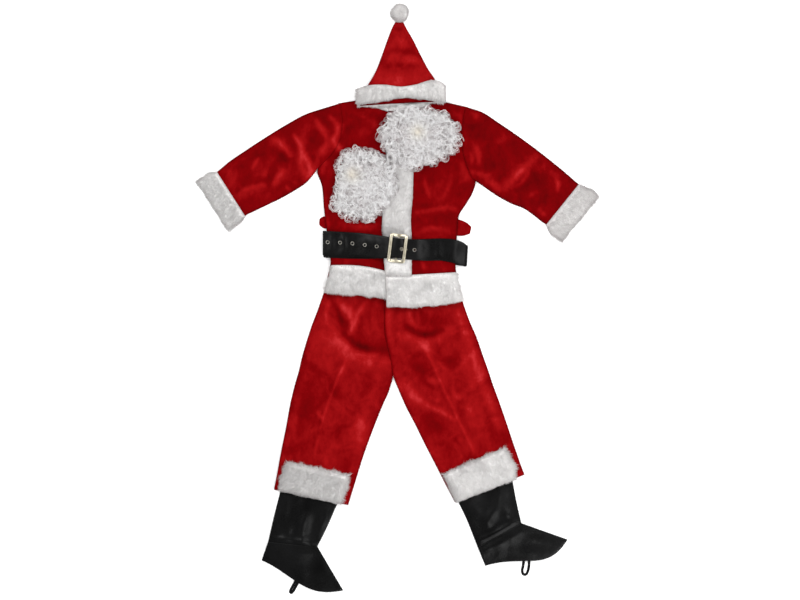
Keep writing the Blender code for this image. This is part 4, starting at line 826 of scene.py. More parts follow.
def new_object(name, points, faces, finish, node=None, **attributes):
    """A smooth mesh that rides on the suit's body, with its finish. It replaces a node if asked."""
    mesh = mesh_of(name, points, faces)
    mesh.polygons.foreach_set("use_smooth", np.ones(len(mesh.polygons), bool))
    for key, values in attributes.items():
        mesh.attributes.new(key, "FLOAT", "POINT").data.foreach_set("value", values)
    slot, make = FINISHES[finish]
    mesh.materials.append(bpy.data.materials.get(finish) or make(bpy.context.scene.santa_suit))
    obj = linked(name, mesh)
    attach(obj, BODY)
    if node:
        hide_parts(node)
    return obj


def grid_quads(rows, columns, first=0):
    """The faces of a grid of points, given its counts of points."""
    a = (np.arange(rows - 1)[:, None] * columns + np.arange(columns - 1)).ravel() + first
    return np.stack([a, a + 1, a + columns + 1, a + columns], axis=1)


def ring_faces(rings, around, ends="capped"):
    """The faces of rings of points in a row, whose ends are capped, joined, or drawn to two last points."""
    pairs = [(i, (i + 1) % around) for i in range(around)]
    faces = []
    for k in range(rings if ends == "joined" else rings - 1):
        a, b = k * around, (k + 1) % rings * around
        faces += [(a + i, a + j, b + j, b + i) for i, j in pairs]
    last, pole = (rings - 1) * around, rings * around
    if ends == "drawn":
        for i, j in pairs:
            faces += [(pole, j, i), (pole + 1, last + i, last + j)]
    if ends == "capped":
        faces += [tuple(reversed(range(around))), tuple(range(last, pole))]
    return faces


def border(rows, columns):
    """The places of a grid's edge points, once round."""
    grid = np.arange(rows * columns).reshape(rows, columns)
    return np.concatenate([grid[0, :-1], grid[:-1, -1], grid[-1, :0:-1], grid[:0:-1, 0]])


def wall(plan, under, thick, skip=1):
    """Points and faces of a cloth wall with a rounded edge, and its upper surface.

    Its underside has every point of the upper one, or with a skip of 2 every second one.
    """
    inner = plan.copy()
    pull = np.minimum(0.45 * np.max(thick), 1.2)
    for edge, inside in ((np.s_[0], np.s_[1]), (np.s_[-1], np.s_[-2])):
        for at, to in ((edge, inside), (np.s_[:, edge], np.s_[:, inside])):
            way = inner[to] - inner[at]
            inner[at] = inner[at] + way * pull / np.linalg.norm(way, axis=-1, keepdims=True)
    rows, columns = under.shape
    top, bottom = under + thick, under.copy()
    rim = border(rows, columns)
    roll = 0.22 * np.broadcast_to(thick, under.shape)
    for level, way in ((top, -1), (bottom, 1)):
        level.ravel()[rim] += way * roll.ravel()[rim]
    upper, lower = at_height(inner, top), at_height(inner, bottom)[::skip, ::skip]
    middle = ((top + bottom) / 2).ravel()[rim]
    edge = np.column_stack([plan.reshape(-1, 2)[rim], middle])
    points = np.concatenate([upper.reshape(-1, 3), lower.reshape(-1, 3), edge])
    count = rows * columns
    ring = np.arange(len(points) - len(rim), len(points))
    foot = count + border(*lower.shape[:2])
    rolled = [np.roll(ring, -k)[::skip] for k in range(skip, -1, -1)]
    faces = [
        grid_quads(rows, columns),
        grid_quads(*lower.shape[:2], count)[:, ::-1],
        np.stack([rim, ring, np.roll(ring, -1), np.roll(rim, -1)], axis=1),
        np.stack([np.roll(foot, -1), *rolled, foot], axis=1),
    ]
    across, along = plan[0, 1] - plan[0, 0], plan[1, 0] - plan[0, 0]
    step = -1 if across[0] * along[1] < across[1] * along[0] else 1
    return points, [corners for part in faces for corners in part[:, ::step].tolist()], upper


def spread_over(values, skip=1):
    """Values on a wall's upper surface, given to its underside and its rim as well."""
    rim = border(*values.shape)
    return np.concatenate([values.ravel(), values[::skip, ::skip].ravel(), values.ravel()[rim]])


def declare_cloth(upper):
    """Works out a piece's flat cut: its greatest width and length, and the area of its surface.
    It keeps none of them.
    """
    flat = tuple(round(float(gaps(upper, axis).sum(axis).max() * MM), 3) for axis in (1, 0))
    area = round(min(float(area_of(upper)) * MM * MM, flat[0] * flat[1]), 5)


def cloth(name, node, cut, thick, finish, rests_on, spacing, folds, ripple, reach, sewn=False, brushed=0.3):
    """Lays one cut piece as a thin shell on its solid's form, with its creases.

    Where it is sewn on along its first row, it thins and lies close there. Brushed is how light its nap
    is where it lies flat.
    """
    plan = plan_of(cut, spacing)
    under = Form(node).underside(plan, spacing, reach)
    from_edge = steps_from_edge(under.shape, spacing)
    height, shine = crease_lift(plan, folds)
    wave = ripples(plan, len(name) * 7 + ord(name[-1]), RIPPLE_LENGTH, ripple)
    under = PILE.clear(plan, under + (height + wave) * np.clip(from_edge / SEAM_EASE, 0, 1))
    if sewn:
        along = gaps(plan, 0).cumsum(0)
        close = np.clip(np.concatenate([np.zeros((1, plan.shape[1])), along]) / SEAM_EASE, 0, 1)
        thick = thick * (0.15 + 0.85 * close**0.7)
    skip = 2 if spacing <= FINE_SPACING and not sewn else 1
    points, faces, upper = wall(plan, under, thick, skip)
    PILE.add(upper)
    slope_y, slope_x = np.gradient(softened(upper[..., 2], spacing, 4.0), spacing)
    # The nap's lie, with painted light laid in: the creases' painted highlights and painted shade, a painted
    # sheen on every slope, and painted light and shade by the way each slope faces.
    lie = brushed + shine * 0.82 + 0.5 * np.hypot(slope_x, slope_y) + 0.3 * (slope_y - slope_x)
    # Painted shade along the cloth's edges, where it rolls under; less of it along a sewn first row.
    turned = 0.3 * np.exp(-((from_edge / EDGE_SHADE_WIDTH) ** 2))
    if sewn:
        turned[:3] *= 0.4
    nap = spread_over(np.clip(1 - np.exp(-1.2 * (lie - turned)), 0.0, 1.0), skip)
    obj = new_object(name, points, faces, finish, node, nap=nap)
    declare_cloth(upper)
    return obj


def plush(node, cut, rests_on, spacing, folds=(), ripple=0.35, reach=9.0, **lay):
    thick = bpy.context.scene.santa_suit.plush.thickness / MM
    cloth(node + ".cloth", node, cut, thick, "red plush", rests_on, spacing, folds, ripple, reach, **lay)


def leatherette(node, cut, thick, rests_on, spacing, folds=(), ripple=0.3, reach=8.0):
    name = node + ".hide"
    return cloth(name, node, cut, thick, "black leatherette", rests_on, spacing, folds, ripple, reach)


def drawn_in(plan, left, right, first, last):
    """A plan drawn in from each of its edges by a distance of its own."""
    rows, columns = plan.shape[:2]
    width, length = mean_size(plan)
    u = np.linspace(left / width, 1 - right / width, columns)
    return resampled(plan, u, np.linspace(first / length, 1 - last / length, rows))


def hairs(roots, ways, lengths, widths, tone):
    """Points, faces and shader values of hairs: each a slim three-sided spike that tapers to its tip."""
    ways = unit(ways)
    side = unit(np.cross(ways, (0.0, 0.0, 1.0)))
    lift = np.cross(side, ways)
    points = [roots + ways * lengths[:, None]]
    for turn in (math.pi / 2, math.pi * 7 / 6, math.pi * 11 / 6):
        offset = math.cos(turn) * side + math.sin(turn) * lift
        points.append(roots + offset * widths[:, None] / 2)
    first = 4 * np.arange(len(roots))[:, None]
    faces = np.concatenate([first + f for f in ((0, 1, 2), (0, 2, 3), (0, 3, 1))])
    # The tip value lightens each hair from root to tip: painted shade deep in the fur.
    values = {"tip": np.tile([1.0, 0.0, 0.0, 0.0], len(roots)), "tone": np.repeat(tone, 4)}
    return np.stack(points, axis=1).reshape(-1, 3), faces.tolist(), values


def tangents(surface, u, v, step=0.02):
    """The ways across and along a grid of points on the plan, at shares u and v."""
    across = sampled(surface, np.minimum(u + step, 1), v) - sampled(surface, np.maximum(u - step, 0), v)
    along = sampled(surface, u, np.minimum(v + step, 1)) - sampled(surface, u, np.maximum(v - step, 0))
    return unit(across[:, :2]), unit(along[:, :2])


def fur_roots(draw, upper, trim, density):
    """Where a trim's hairs stand, as shares of its width and length. A covered one has a rim of them."""
    u, v = draw.random((2, int(area_of(upper) * density)))
    if trim.covered:
        width, length = mean_size(upper)
        inside = np.minimum(np.minimum(u, 1 - u) * width, np.minimum(v, 1 - v) * length)
        u, v = u[inside < COVERED_RIM], v[inside < COVERED_RIM]
    return u, v


def trim_edges(upper, trim, u, v):
    """For each edge of a trim: how far it is, the way out over it, how loose and how shaded it is."""
    width, length = mean_size(upper)
    across, along = tangents(upper, u, v)
    return (
        (u * width, -across, trim.left, 1),
        ((1 - u) * width, across, trim.right, 1),
        (v * length, -along, trim.first, 0 if trim.joined else 1),
        ((1 - v) * length, along, trim.last, 1),
    )


def pile_fur(upper, trim, look, seed):
    """The fur of one trim: hairs that lean with the lie of the pile and stray over its loose edges."""
    draw = np.random.default_rng(seed)
    u, v = fur_roots(draw, upper, trim, look.density)
    edges = trim_edges(upper, trim, u, v)
    count, roots = len(u), sampled(upper, u, v)
    plan = roots[:, :2]
    swirl = ripples(plan, seed, 42.0, 0.30, 15.0, 0.18) + draw.normal(0, 0.24, count)
    flow = math.radians(trim.flow) + swirl
    way = np.stack([np.cos(flow), np.sin(flow)], axis=1)
    longer, stray, rim = np.ones(count), np.zeros(count), np.zeros(count)
    for away, outward, loose, shaded in edges:
        near = np.exp(-away / FUR_EDGE_REACH)
        # Painted shade on the hairs near each edge, but none at a joined trim's first edge.
        rim = np.maximum(rim, shaded * np.exp(-((away / FUR_RIM_WIDTH) ** 2)))
        way = way + outward * near[:, None] * (2.6 * loose - 0.5 * (1 - loose))
        longer *= 1 + near * (0.45 * loose - 0.3 * (1 - loose))
        stray = np.maximum(stray, near * loose)
    tufts = 1 + stray * ripples(plan, seed + 4, 9.0, 0.25, 28.0, 0.3)
    way = unit(way)
    lean = np.radians(draw.normal(look.lean, 6.0, count).clip(50, 84))
    hair = look.hair_length / MM * draw.uniform(0.65, 1.1, count) * longer * tufts
    uneven = 1 + ripples(plan, seed + 6, 30.0, 0.5)
    for away, outward, loose, _ in edges:
        beyond = hair * np.sin(lean) * (way * outward).sum(1) - away
        most = (1.8 + 9.0 * loose) * draw.uniform(0.6, 1.2, count) * uneven
        hair *= np.where(beyond > most, (away + most) / (away + np.maximum(beyond, most)), 1.0)
    ways = np.column_stack([way * np.sin(lean)[:, None], np.cos(lean)])
    thick = look.hair_width / MM * draw.uniform(0.7, 1.2, count)
    tone = np.clip(draw.normal(0.5, 0.16, count) + ripples(plan, seed + 3, 24.0, 0.14), 0, 1)
    # Painted shade on the hairs near the edges, and on the whole trim by its own painted shade.
    tone = tone - look.rim_shade * rim - trim.grey
    points, faces, values = hairs(roots - ways * FUR_SUNK, ways, hair, thick, tone)
    return new_object(trim.node + ".pile", points, faces, "white fur", **values)


def fur_trim(trim, seed):
    """One fur trim: its knitted backing, closed all round, and the fur that stands on it."""
    edges = (trim.left, trim.right, trim.first, trim.last)
    plan = drawn_in(plan_of(trim.cut, FUR_SPACING), *(0.6 + 2.6 * loose for loose in edges))
    under = PILE.clear(plan, Form(trim.node).underside(plan, FUR_SPACING, 7.0))
    lumps = np.clip(0.5 + ripples(plan, seed, 30.0, 0.4), 0, 1.2)
    from_edge = steps_from_edge(under.shape, FUR_SPACING)
    ease = np.clip(from_edge / FUR_RAMP, 0, 1) ** 0.75
    thick = 1.6 + (trim.thick * 0.34 + 0.5 * lumps) * ease
    points, faces, upper = wall(plan, under, thick, 2)
    PILE.add(upper)
    # Painted shade along the backing's edges, none where a joined trim runs on.
    rim = np.exp(-((from_edge / BACKING_RIM_WIDTH) ** 2))
    if trim.joined:
        rim[:3, 3:-3] = 0
    fur = pile_fur(upper, trim, bpy.context.scene.santa_suit.fur, seed)
    name = trim.node + ".backing"
    backing = new_object(name, points, faces, "fur backing", trim.node, rim=spread_over(rim, 2))
    declare_cloth(upper)


def fur_trims(trims, seed):
    for k, trim in enumerate(trims):
        fur_trim(trim, seed + 5 * k)


def pompom():
    """The hat's pompom: a stuffed ball with fur standing out all round it."""
    low, high = (np.array(c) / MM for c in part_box("hat_pompom"))
    centre = (low + high)[:2] / 2
    top = high[2] - POMPOM_FUR
    size = np.array([*(high - low)[:2] / 2 - POMPOM_FUR, top / 2])
    middle = np.array([*centre, top / 2])
    around, rings = 48, 23
    turn = np.linspace(0, FULL_TURN, around, endpoint=False)
    tilt = np.linspace(0, math.pi, rings + 2)[1:-1, None] + 0 * turn
    out = np.stack([np.sin(tilt) * np.cos(turn), np.sin(tilt) * np.sin(turn), -np.cos(tilt)], axis=2)
    ball = middle + out * size
    x, y, z = np.moveaxis(ball, -1, 0)
    lumps = 1 + 0.035 * np.sin(x / 3.1 + 1.3 * np.cos(y / 4.2)) * np.cos(z / 3.7)
    ball = middle + (ball - middle) * lumps[..., None]
    ball[..., 2] = np.maximum(ball[..., 2], POMPOM_FOOT)
    points = np.concatenate([ball.reshape(-1, 3), [[*centre, POMPOM_FOOT], [*centre, top]]])
    faces = ring_faces(rings, around, "drawn")
    obj = new_object("hat_pompom.ball", points, faces, "fur backing", "hat_pompom")
    draw = np.random.default_rng(71)
    count = POMPOM_HAIRS
    rise = draw.uniform(-0.9, 1.0, count)
    turn = draw.uniform(0, FULL_TURN, count)
    flat = np.sqrt(1 - rise**2)
    out = np.column_stack([flat * np.cos(turn), flat * np.sin(turn), rise])
    roots = middle + out * size * 0.96
    x, y, z = roots.T
    swirl = np.column_stack([np.sin(y / 5.0 + 2.0), np.cos(z / 4.0 + 1.0), np.sin(x / 4.5)])
    ways = out / size * size.mean() + 0.75 * swirl + draw.normal(0, 0.28, (count, 3))
    ways[:, 2] = np.maximum(ways[:, 2], -z / 12.0)
    lengths, widths = draw.uniform(6.0, 9.5, count), draw.uniform(1.0, 1.7, count)
    # Random tone, with painted shade round the ball's sides.
    tone = draw.normal(-0.1, 0.2, count) - 1.1 * flat**4
    points, faces, values = hairs(roots, ways, lengths, widths, tone)
    points[:, 2] = np.maximum(points[:, 2], 0.2)
    new_object("hat_pompom.pile", points, faces, "white fur", **values)


def reach_at(table, turn):
    """How far a mound of hair reaches at each angle."""
    degrees, reach = np.array([*table, (360.0 + table[0][0], table[0][1])]).T
    return np.interp(np.degrees(turn) % 360.0, degrees, reach)


def hair_mound(node, centre, table, height):
    """The closed cap of matted hair under the curls, and its upper surface by ring and angle."""
    around, rings = 96, 20
    turn = np.linspace(0, FULL_TURN, around, endpoint=False)
    share = np.linspace(1.0, MOUND_MIDDLE, rings)[:, None]
    out = np.stack([np.cos(turn), np.sin(turn)], axis=1)
    plan = np.array(centre) + (share * (reach_at(table, turn) - MOUND_TRIM))[..., None] * out
    under = PILE.clear(plan, Form(node).heights(plan), gap=0.5)
    dome = MOUND_EDGE + (height - MOUND_EDGE) * (1 - share**2.4)
    lumps = ripples(plan, len(node), 30.0, 2.2, 13.0, 1.0)
    level = under.mean() + (under - under.mean()) * share
    top = np.maximum(level + dome - CURL_DEPTH + lumps * np.clip((1 - share) * 6, 0, 1), under + 3.0)
    upper = at_height(plan, top)
    poles = [[*centre, under[-1].mean()], [*centre, top[-1].mean()]]
    points = np.concatenate([*at_height(plan, under)[::-1], *upper, poles])
    return points, ring_faces(2 * rings, around, "drawn"), np.concatenate([upper, upper[:, :1]], axis=1)


Locks = namedtuple("Locks", "share ground normal radius spin leaning axis middle")


def spread_locks(draw, upper, centre, table, count, shares, radii, outward, parting):
    """Where each lock of a mound lies, how wide it curls, and which way the axis of its curl leans."""
    k = np.arange(count)
    turn = (k * GOLDEN_ANGLE + draw.normal(0, 0.12, count)) % FULL_TURN
    share = np.sqrt(shares[0] ** 2 + (shares[1] ** 2 - shares[0] ** 2) * (k + 0.5) / count)
    ground = sampled(upper, turn / FULL_TURN, (1 - share) / (1 - MOUND_MIDDLE))
    radial = np.column_stack([np.cos(turn), np.sin(turn), np.zeros(count)])
    normal = unit(radial * (0.55 * share**1.4)[:, None] + [0, 0, 1])
    radius = draw.uniform(*radii, count)
    tilt = np.radians(draw.uniform(8, 62, count))
    spin = draw.uniform(0, FULL_TURN, count)
    side = unit(np.cross(normal, [1.0, 0.13, 0.0]))
    leaning = side * np.cos(spin)[:, None] + np.cross(normal, side) * np.sin(spin)[:, None]
    axis = normal * np.cos(tilt)[:, None] + leaning * np.sin(tilt)[:, None]
    short = reach_at(table, turn) - np.linalg.norm(ground[:, :2] - centre, axis=1) - radius
    push = np.maximum(short, 0) * share**4 + outward * draw.uniform(-0.3, 1.0, count)
    middle = ground + radial * push[:, None] + normal * (radius * np.sin(tilt) * 0.4 + 0.8)[:, None]
    aside = middle[:, :2] - parting
    away = np.linalg.norm(aside, axis=1, keepdims=True)
    middle[:, :2] += aside / away * np.maximum(PARTING - away, 0)
    return Locks(share, ground, normal, radius, spin, leaning, axis, middle)


def strand_tubes(paths, axis, thick, sides):
    """The points round each of a set of paths, at a thickness for each step along them."""
    ahead = unit(np.gradient(paths, axis=1))
    across = unit(np.cross(ahead, axis[:, None] + 0.02))
    upward = np.cross(across, ahead)
    corners = FULL_TURN * np.arange(sides) / sides
    rim = across[:, :, None] * np.cos(corners)[:, None] + upward[:, :, None] * np.sin(corners)[:, None]
    return (paths[:, :, None] + rim * thick[:, None, None]).reshape(-1, 3)


def ringlets(upper, centre, table, look, count, shares, radii, outward, parting, seed):
    """Curled strands over a mound: their points and faces, and each point's tone and painted shade."""
    draw = np.random.default_rng(seed)
    strands, steps, sides = 4, 12, 3
    lock = spread_locks(draw, upper, centre, table, count, shares, radii, outward, parting)
    first = unit(np.cross(lock.axis, lock.normal + 0.01))
    second = np.cross(lock.axis, first)
    turns = draw.uniform(1.0, 1.7, count)
    start = draw.uniform(0, FULL_TURN, count)
    sideways, onward = draw.uniform(-7, 10, count), draw.uniform(1, 5, count)
    drift = lock.leaning * sideways[:, None] + lock.axis * onward[:, None]
    contrast = 0.3 + 0.9 * lock.share
    t = np.linspace(0, 1, steps)
    thick = look.strand_width / MM / 2 * (1 - 0.7 * t**4)
    tubes, tones, depth_shades = [], [], []
    for _ in range(strands):
        phase = (start + draw.normal(0, 0.22, count))[:, None]
        size = (lock.radius * (1 + draw.normal(0, 0.12, count)))[:, None]
        beside = draw.normal(0, 1.5, (count, 3))
        angle = phase + FULL_TURN * turns[:, None] * t
        curl = size * (1 - 0.25 * t) * (1 + 0.12 * np.sin(2.6 * angle + lock.spin[:, None]))
        path = (
            (lock.middle + beside)[:, None]
            + first[:, None] * (curl * np.cos(angle))[..., None]
            + second[:, None] * (curl * np.sin(angle))[..., None]
            + drift[:, None] * t[None, :, None]
        )
        path[..., 2] = np.maximum(path[..., 2], STRAND_FOOT)
        tubes.append(strand_tubes(path, lock.axis, thick, sides))
        tones.append(np.repeat(0.56 + contrast * draw.uniform(-0.55, 0.5, count), steps * sides))
        # Painted shade on the strands low down, and light on those up top, less so at the mound's middle.
        rise = (path[..., 2] - lock.ground[:, None, 2]) / 10.0
        depth = 0.66 + contrast[:, None] * (np.clip(0.4 + 0.5 * rise, 0, 1) - 0.64)
        depth_shades.append(np.repeat(depth.ravel(), sides))
    base = (np.arange(count * strands)[:, None] * steps + np.arange(steps - 1))[..., None] * sides
    i, j = np.arange(sides), (np.arange(sides) + 1) % sides
    faces = np.stack([base + i, base + j, base + sides + j, base + sides + i], axis=3).reshape(-1, 4)
    return np.concatenate(tubes), faces.tolist(), np.concatenate(tones), np.concatenate(depth_shades)


def cream_at(away):
    """How creamy the hair is at a distance from its parting."""
    return np.exp(-((away / CREAM_REACH) ** 2))


def hair_piece(node, centre, table, height, parting, seed):
    """A wig or beard: the matted cap, creamy at its parting, and the ringlets that cover it."""
    look = bpy.context.scene.santa_suit.curls
    points, faces, upper = hair_mound(node, centre, table, height)
    away = np.linalg.norm(points[:, :2] - parting, axis=1)
    # The cap darkens away from its parting: painted shade under the ringlets.
    values = {"tone": np.full(len(points), 0.5), "depth": np.clip(0.75 - 0.6 * (away / 40.0), 0.1, 1)}
    new_object(node + ".cap", points, faces, "white curls", node, cream=cream_at(away), **values)
    sprays = (
        (".curls", look.locks, (0.0, 0.86), (4.5, 9.5), 0.0),
        (".wisps", look.wisps, (0.74, 1.0), (7.0, 13.0), 6.0),
    )
    for k, (ending, *spray) in enumerate(sprays):
        points, faces, tone, depth = ringlets(upper, centre, table, look, *spray, parting, seed + k)
        cream = cream_at(np.linalg.norm(points[:, :2] - parting, axis=1)) * 0.7
        new_object(node + ending, points, faces, "white curls", tone=tone, depth=depth, cream=cream)


def facing_out(obj):
    """Merges doubled points and turns the faces of a closed mesh outwards."""
    work = bmesh.new()
    work.from_mesh(obj.data)
    bmesh.ops.remove_doubles(work, verts=work.verts, dist=0.01 * MM)
    bmesh.ops.recalc_face_normals(work, faces=work.faces)
    work.to_mesh(obj.data)
    work.free()
    return obj


def swept(route, width, height, around=14, closed=False, flatness=2.0):
    """A bar along a route. Flatness 2 is round; above it the section's top and bottom flatten."""
    ahead = np.gradient(route, axis=0)
    if closed:
        ahead = np.roll(route, -1, axis=0) - np.roll(route, 1, axis=0)
    ahead = unit(ahead)
    side = unit(np.cross(ahead, (0.0, 0.0, 1.0)))
    lift = np.cross(side, ahead)
    turn = FULL_TURN * (np.arange(around) + 0.5) / around
    across, up = (
        (np.sign(wave) * np.abs(wave) ** (2 / flatness) * size / 2)[None, :, None]
        for wave, size in ((np.cos(turn), width), (np.sin(turn), height))
    )
    points = route[:, None] + side[:, None] * across + lift[:, None] * up
    return points.reshape(-1, 3), ring_faces(len(route), around, "joined" if closed else "capped")


def softened_copy(node, finish, **attributes):
    """A rounder, finer copy of a CAD node in its own place."""
    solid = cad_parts[node].data
    points = np.array([v.co for v in solid.vertices]) / MM
    given = {key: np.full(len(points), value) for key, value in attributes.items()}
    faces = [tuple(p.vertices) for p in solid.polygons]
    obj = facing_out(new_object(node + ".cloth", points, faces, finish, node, **given))
    subdivision = obj.modifiers.new("rounded", "SUBSURF")
    subdivision.levels = subdivision.render_levels = 2


def at_buckle(along, across):
    """A place on the buckle, from its own centre, on the floor plan."""
    x = along * math.cos(BUCKLE_TILT) - across * math.sin(BUCKLE_TILT)
    y = along * math.sin(BUCKLE_TILT) + across * math.cos(BUCKLE_TILT)
    return np.array([BUCKLE_CENTRE[0] + x, BUCKLE_CENTRE[1] + y])


def buckle_frame():
    """The buckle's rounded rectangle of flat bars, and the middle bar across its back."""
    half_w, half_h = (BUCKLE_WIDTH - BUCKLE_BAR) / 2, (BUCKLE_HEIGHT - BUCKLE_BAR) / 2
    loop = []
    for sx, sy, start in ((1, 1, 0), (-1, 1, 90), (-1, -1, 180), (1, -1, 270)):
        cx, cy = sx * (half_w - BUCKLE_CORNER), sy * (half_h - BUCKLE_CORNER)
        for turn in np.radians(start + np.linspace(0, 90, 9)):
            loop.append((cx + BUCKLE_CORNER * math.cos(turn), cy + BUCKLE_CORNER * math.sin(turn)))
    fine = []
    for (x0, y0), (x1, y1) in zip(loop, loop[1:] + loop[:1]):
        parts = max(1, round(math.hypot(x1 - x0, y1 - y0) / 3.0))
        fine += [(x0 + (x1 - x0) * k / parts, y0 + (y1 - y0) * k / parts) for k in range(parts)]
    plan = np.array([at_buckle(*p) for p in fine])
    form = Form("buckle_frame")
    top = form.heights(plan[None], upper=True)[0]
    for _ in range(12):
        top = (np.roll(top, 1) + 2 * top + np.roll(top, -1)) / 4
    thick = BUCKLE_BAR * BUCKLE_FLATNESS
    route = np.column_stack([plan, top - thick / 2])
    bars = swept(route, BUCKLE_BAR, thick, around=20, closed=True, flatness=3.0)
    facing_out(new_object("buckle_frame.bars", *bars, "pale gold", "buckle_frame"))
    middle = np.array([[at_buckle(0, share * half_h) for share in (-0.4, 0, 0.4)]])
    height = float(np.median(form.heights(middle, upper=True))) - BAR_DIAMETER / 2
    run = np.linspace(at_buckle(0, -half_h), at_buckle(0, half_h), 9)
    bar = swept(at_height(run, np.full(len(run), height)), BAR_DIAMETER, BAR_DIAMETER)
    facing_out(new_object("buckle_frame.middle_bar", *bar, "pale gold"))


def buckle_prong():
    """The pin, from the middle bar up through its eyelet to the frame's right bar."""
    form = Form("buckle_prong")
    low, high = (c[0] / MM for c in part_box("buckle_prong"))
    x = np.linspace(low + 0.3, high - 0.3, 40)
    order = np.argsort(form.points[:, 0])
    y = np.polyval(np.polyfit(form.points[order, 0], form.points[order, 1], 1), x)
    plan = np.stack([x, y], axis=1)
    top = form.heights(plan[None], upper=True)[0]
    for _ in range(3):
        top[1:-1] = (top[:-2] + 2 * top[1:-1] + top[2:]) / 4
    pin = swept(at_height(plan, top - PRONG_DIAMETER / 2), PRONG_DIAMETER, PRONG_DIAMETER)
    facing_out(new_object("buckle_prong.pin", *pin, "pale gold", "buckle_prong"))


def eyelet(node):
    """A pressed metal eyelet: a rolled ring, with its throat turned down into the hole. Its centre is
    returned."""
    foot = Form(node).points
    centre = (foot.min(0) + foot.max(0))[:2] / 2
    away = np.linalg.norm(foot[:, :2] - centre, axis=1)
    foot = foot[np.abs(away - EYELET_RIM / 2) < 0.25]
    slope_x, slope_y, level = np.linalg.lstsq(
        np.column_stack([foot[:, :2], np.ones(len(foot))]), foot[:, 2], rcond=None
    )[0]
    outer, inner = EYELET_RIM / 2 - 0.6, EYELET_HOLE / 2 + 0.1
    section = [
        (outer, 0.0), (outer + 0.05, 0.35), (outer - 0.35, 0.8), (outer - 0.75, 1.0), (inner + 0.6, 0.95),
        (inner + 0.2, 0.6), (inner, 0.0), (inner - 0.55, -1.5), (inner - 0.2, -1.6), (inner + 0.35, 0.0),
    ]
    turn = np.linspace(0, FULL_TURN, 32, endpoint=False)
    points = []
    for radius, height in section:
        x, y = centre[0] + radius * np.cos(turn), centre[1] + radius * np.sin(turn)
        points.append(np.column_stack([x, y, slope_x * x + slope_y * y + level + height]))
    faces = ring_faces(len(section), len(turn), "joined")
    facing_out(new_object(node + ".ring", np.concatenate(points), faces, "dull brass", node))
    return centre


def punch(strap, centres):
    """Cuts the eyelet holes through the strap and keeps the result as its mesh."""
    turn = np.linspace(0, FULL_TURN, 24, endpoint=False)
    circle = np.stack([np.cos(turn), np.sin(turn)], axis=1) * EYELET_HOLE / 2
    cutters = []
    for k, centre in enumerate(centres):
        rim = centre + circle
        points = np.concatenate([at_height(rim, np.full(len(rim), z)) for z in (-20.0, 90.0)])
        cutter = linked(f"hole_{k}", mesh_of(f"hole_{k}", points, ring_faces(2, len(turn))))
        cut = strap.modifiers.new(f"hole_{k}", "BOOLEAN")
        cut.operation, cut.solver, cut.object = "DIFFERENCE", "EXACT", facing_out(cutter)
        cutters.append(cutter)
    depsgraph = bpy.context.evaluated_depsgraph_get()
    punched = bpy.data.meshes.new_from_object(strap.evaluated_get(depsgraph))
    strap.modifiers.clear()
    strap.data = punched
    for cutter in cutters:
        bpy.data.objects.remove(cutter)


def elastic(node, route):
    """A boot cover's elastic strap, hanging in a loop from the sole."""
    route = np.array(route, float)
    knots = np.concatenate([[0.0], np.cumsum(gaps(route, 0))])
    line = smooth_through(knots, route, np.linspace(0, knots[-1], 40))
    ahead = unit(np.gradient(line, axis=0))
    side = np.stack([-ahead[:, 1], ahead[:, 0]], axis=1)
    columns = np.arange(7)
    across = np.linspace(-ELASTIC_WIDTH / 2, ELASTIC_WIDTH / 2, len(columns))
    plan = line[:, None] + side[:, None] * across[None, :, None]
    under = PILE.clear(plan, Form(node).underside(plan, 2.5, 4.0))
    ribs = 0.12 * np.cos(columns * math.pi)
    points, faces, upper = wall(plan, under, ELASTIC_THICK - 0.2 + ribs + 0 * under)
    PILE.add(upper)
    facing_out(new_object(node + ".tape", points, faces, "black elastic", node))


def keep_belt_run():
    """Keeps the belt's run round the back in the pile, so that the jacket lies clear of it."""
    plan = plan_of(BELT_BACK, 6.0)
    PILE.add(at_height(plan, Form("belt_back").heights(plan) + BELT_BACK_THICK))


def length_setting(name, description, default):
    return FloatProperty(name=name, description=description, default=default, unit="LENGTH")


def share_setting(name, description, default):
    return FloatProperty(name=name, description=description, default=default, subtype="FACTOR")


def number_setting(name, description, default):
    return FloatProperty(name=name, description=description, default=default)


def colour_setting(name, description, *default):
    return FloatVectorProperty(name=name, description=description, default=default, subtype="COLOR")


class PlushLook(bpy.types.PropertyGroup):
    """The red velour of the jacket, trousers and hat."""

    thickness: length_setting("Thickness", "Thickness of the cloth", 0.0017)
    # Shade is the darkest nap and the painted shade; highlight and glint are painted highlights on creases.
    shade: colour_setting("Shade", "Where the nap points away", 0.07, 0.0, 0.0005)
    colour: colour_setting("Colour", "The plush at rest", 0.155, 0.0, 0.001)
    light: colour_setting("Light", "Where the nap leans over", 0.275, 0.004, 0.005)
    highlight: colour_setting("Highlight", "Along the tops of creases", 0.41, 0.019, 0.022)
    glint: colour_setting("Glint", "The brightest lines on creases", 0.45, 0.031, 0.035)
    sheen: share_setting("Sheen", "Light caught by the pile's tips", 0.04)


class FurLook(bpy.types.PropertyGroup):
    """The white faux fur of the trims."""

    hair_length: length_setting("Hair length", "Length of a hair", 0.011)
    hair_width: length_setting("Hair width", "Width at the root", 0.0013)
    density: number_setting("Density", "Hairs to each square millimetre", 0.72)
    lean: number_setting("Lean", "Degrees that the hairs lean over", 73.0)
    # The roots' colour is painted shade between the tufts, a little red; the rim is painted shade along the
    # edges.
    painted_root_shade: colour_setting("Roots", "Between the tufts", 0.56, 0.53, 0.525)
    colour: colour_setting("Colour", "The fur's body", 0.88, 0.865, 0.855)
    tip_colour: colour_setting("Tips", "The hairs' tips", 0.92, 0.91, 0.90)
    rim_shade: number_setting("Rim", "How much greyer a trim's edges are", 1.1)


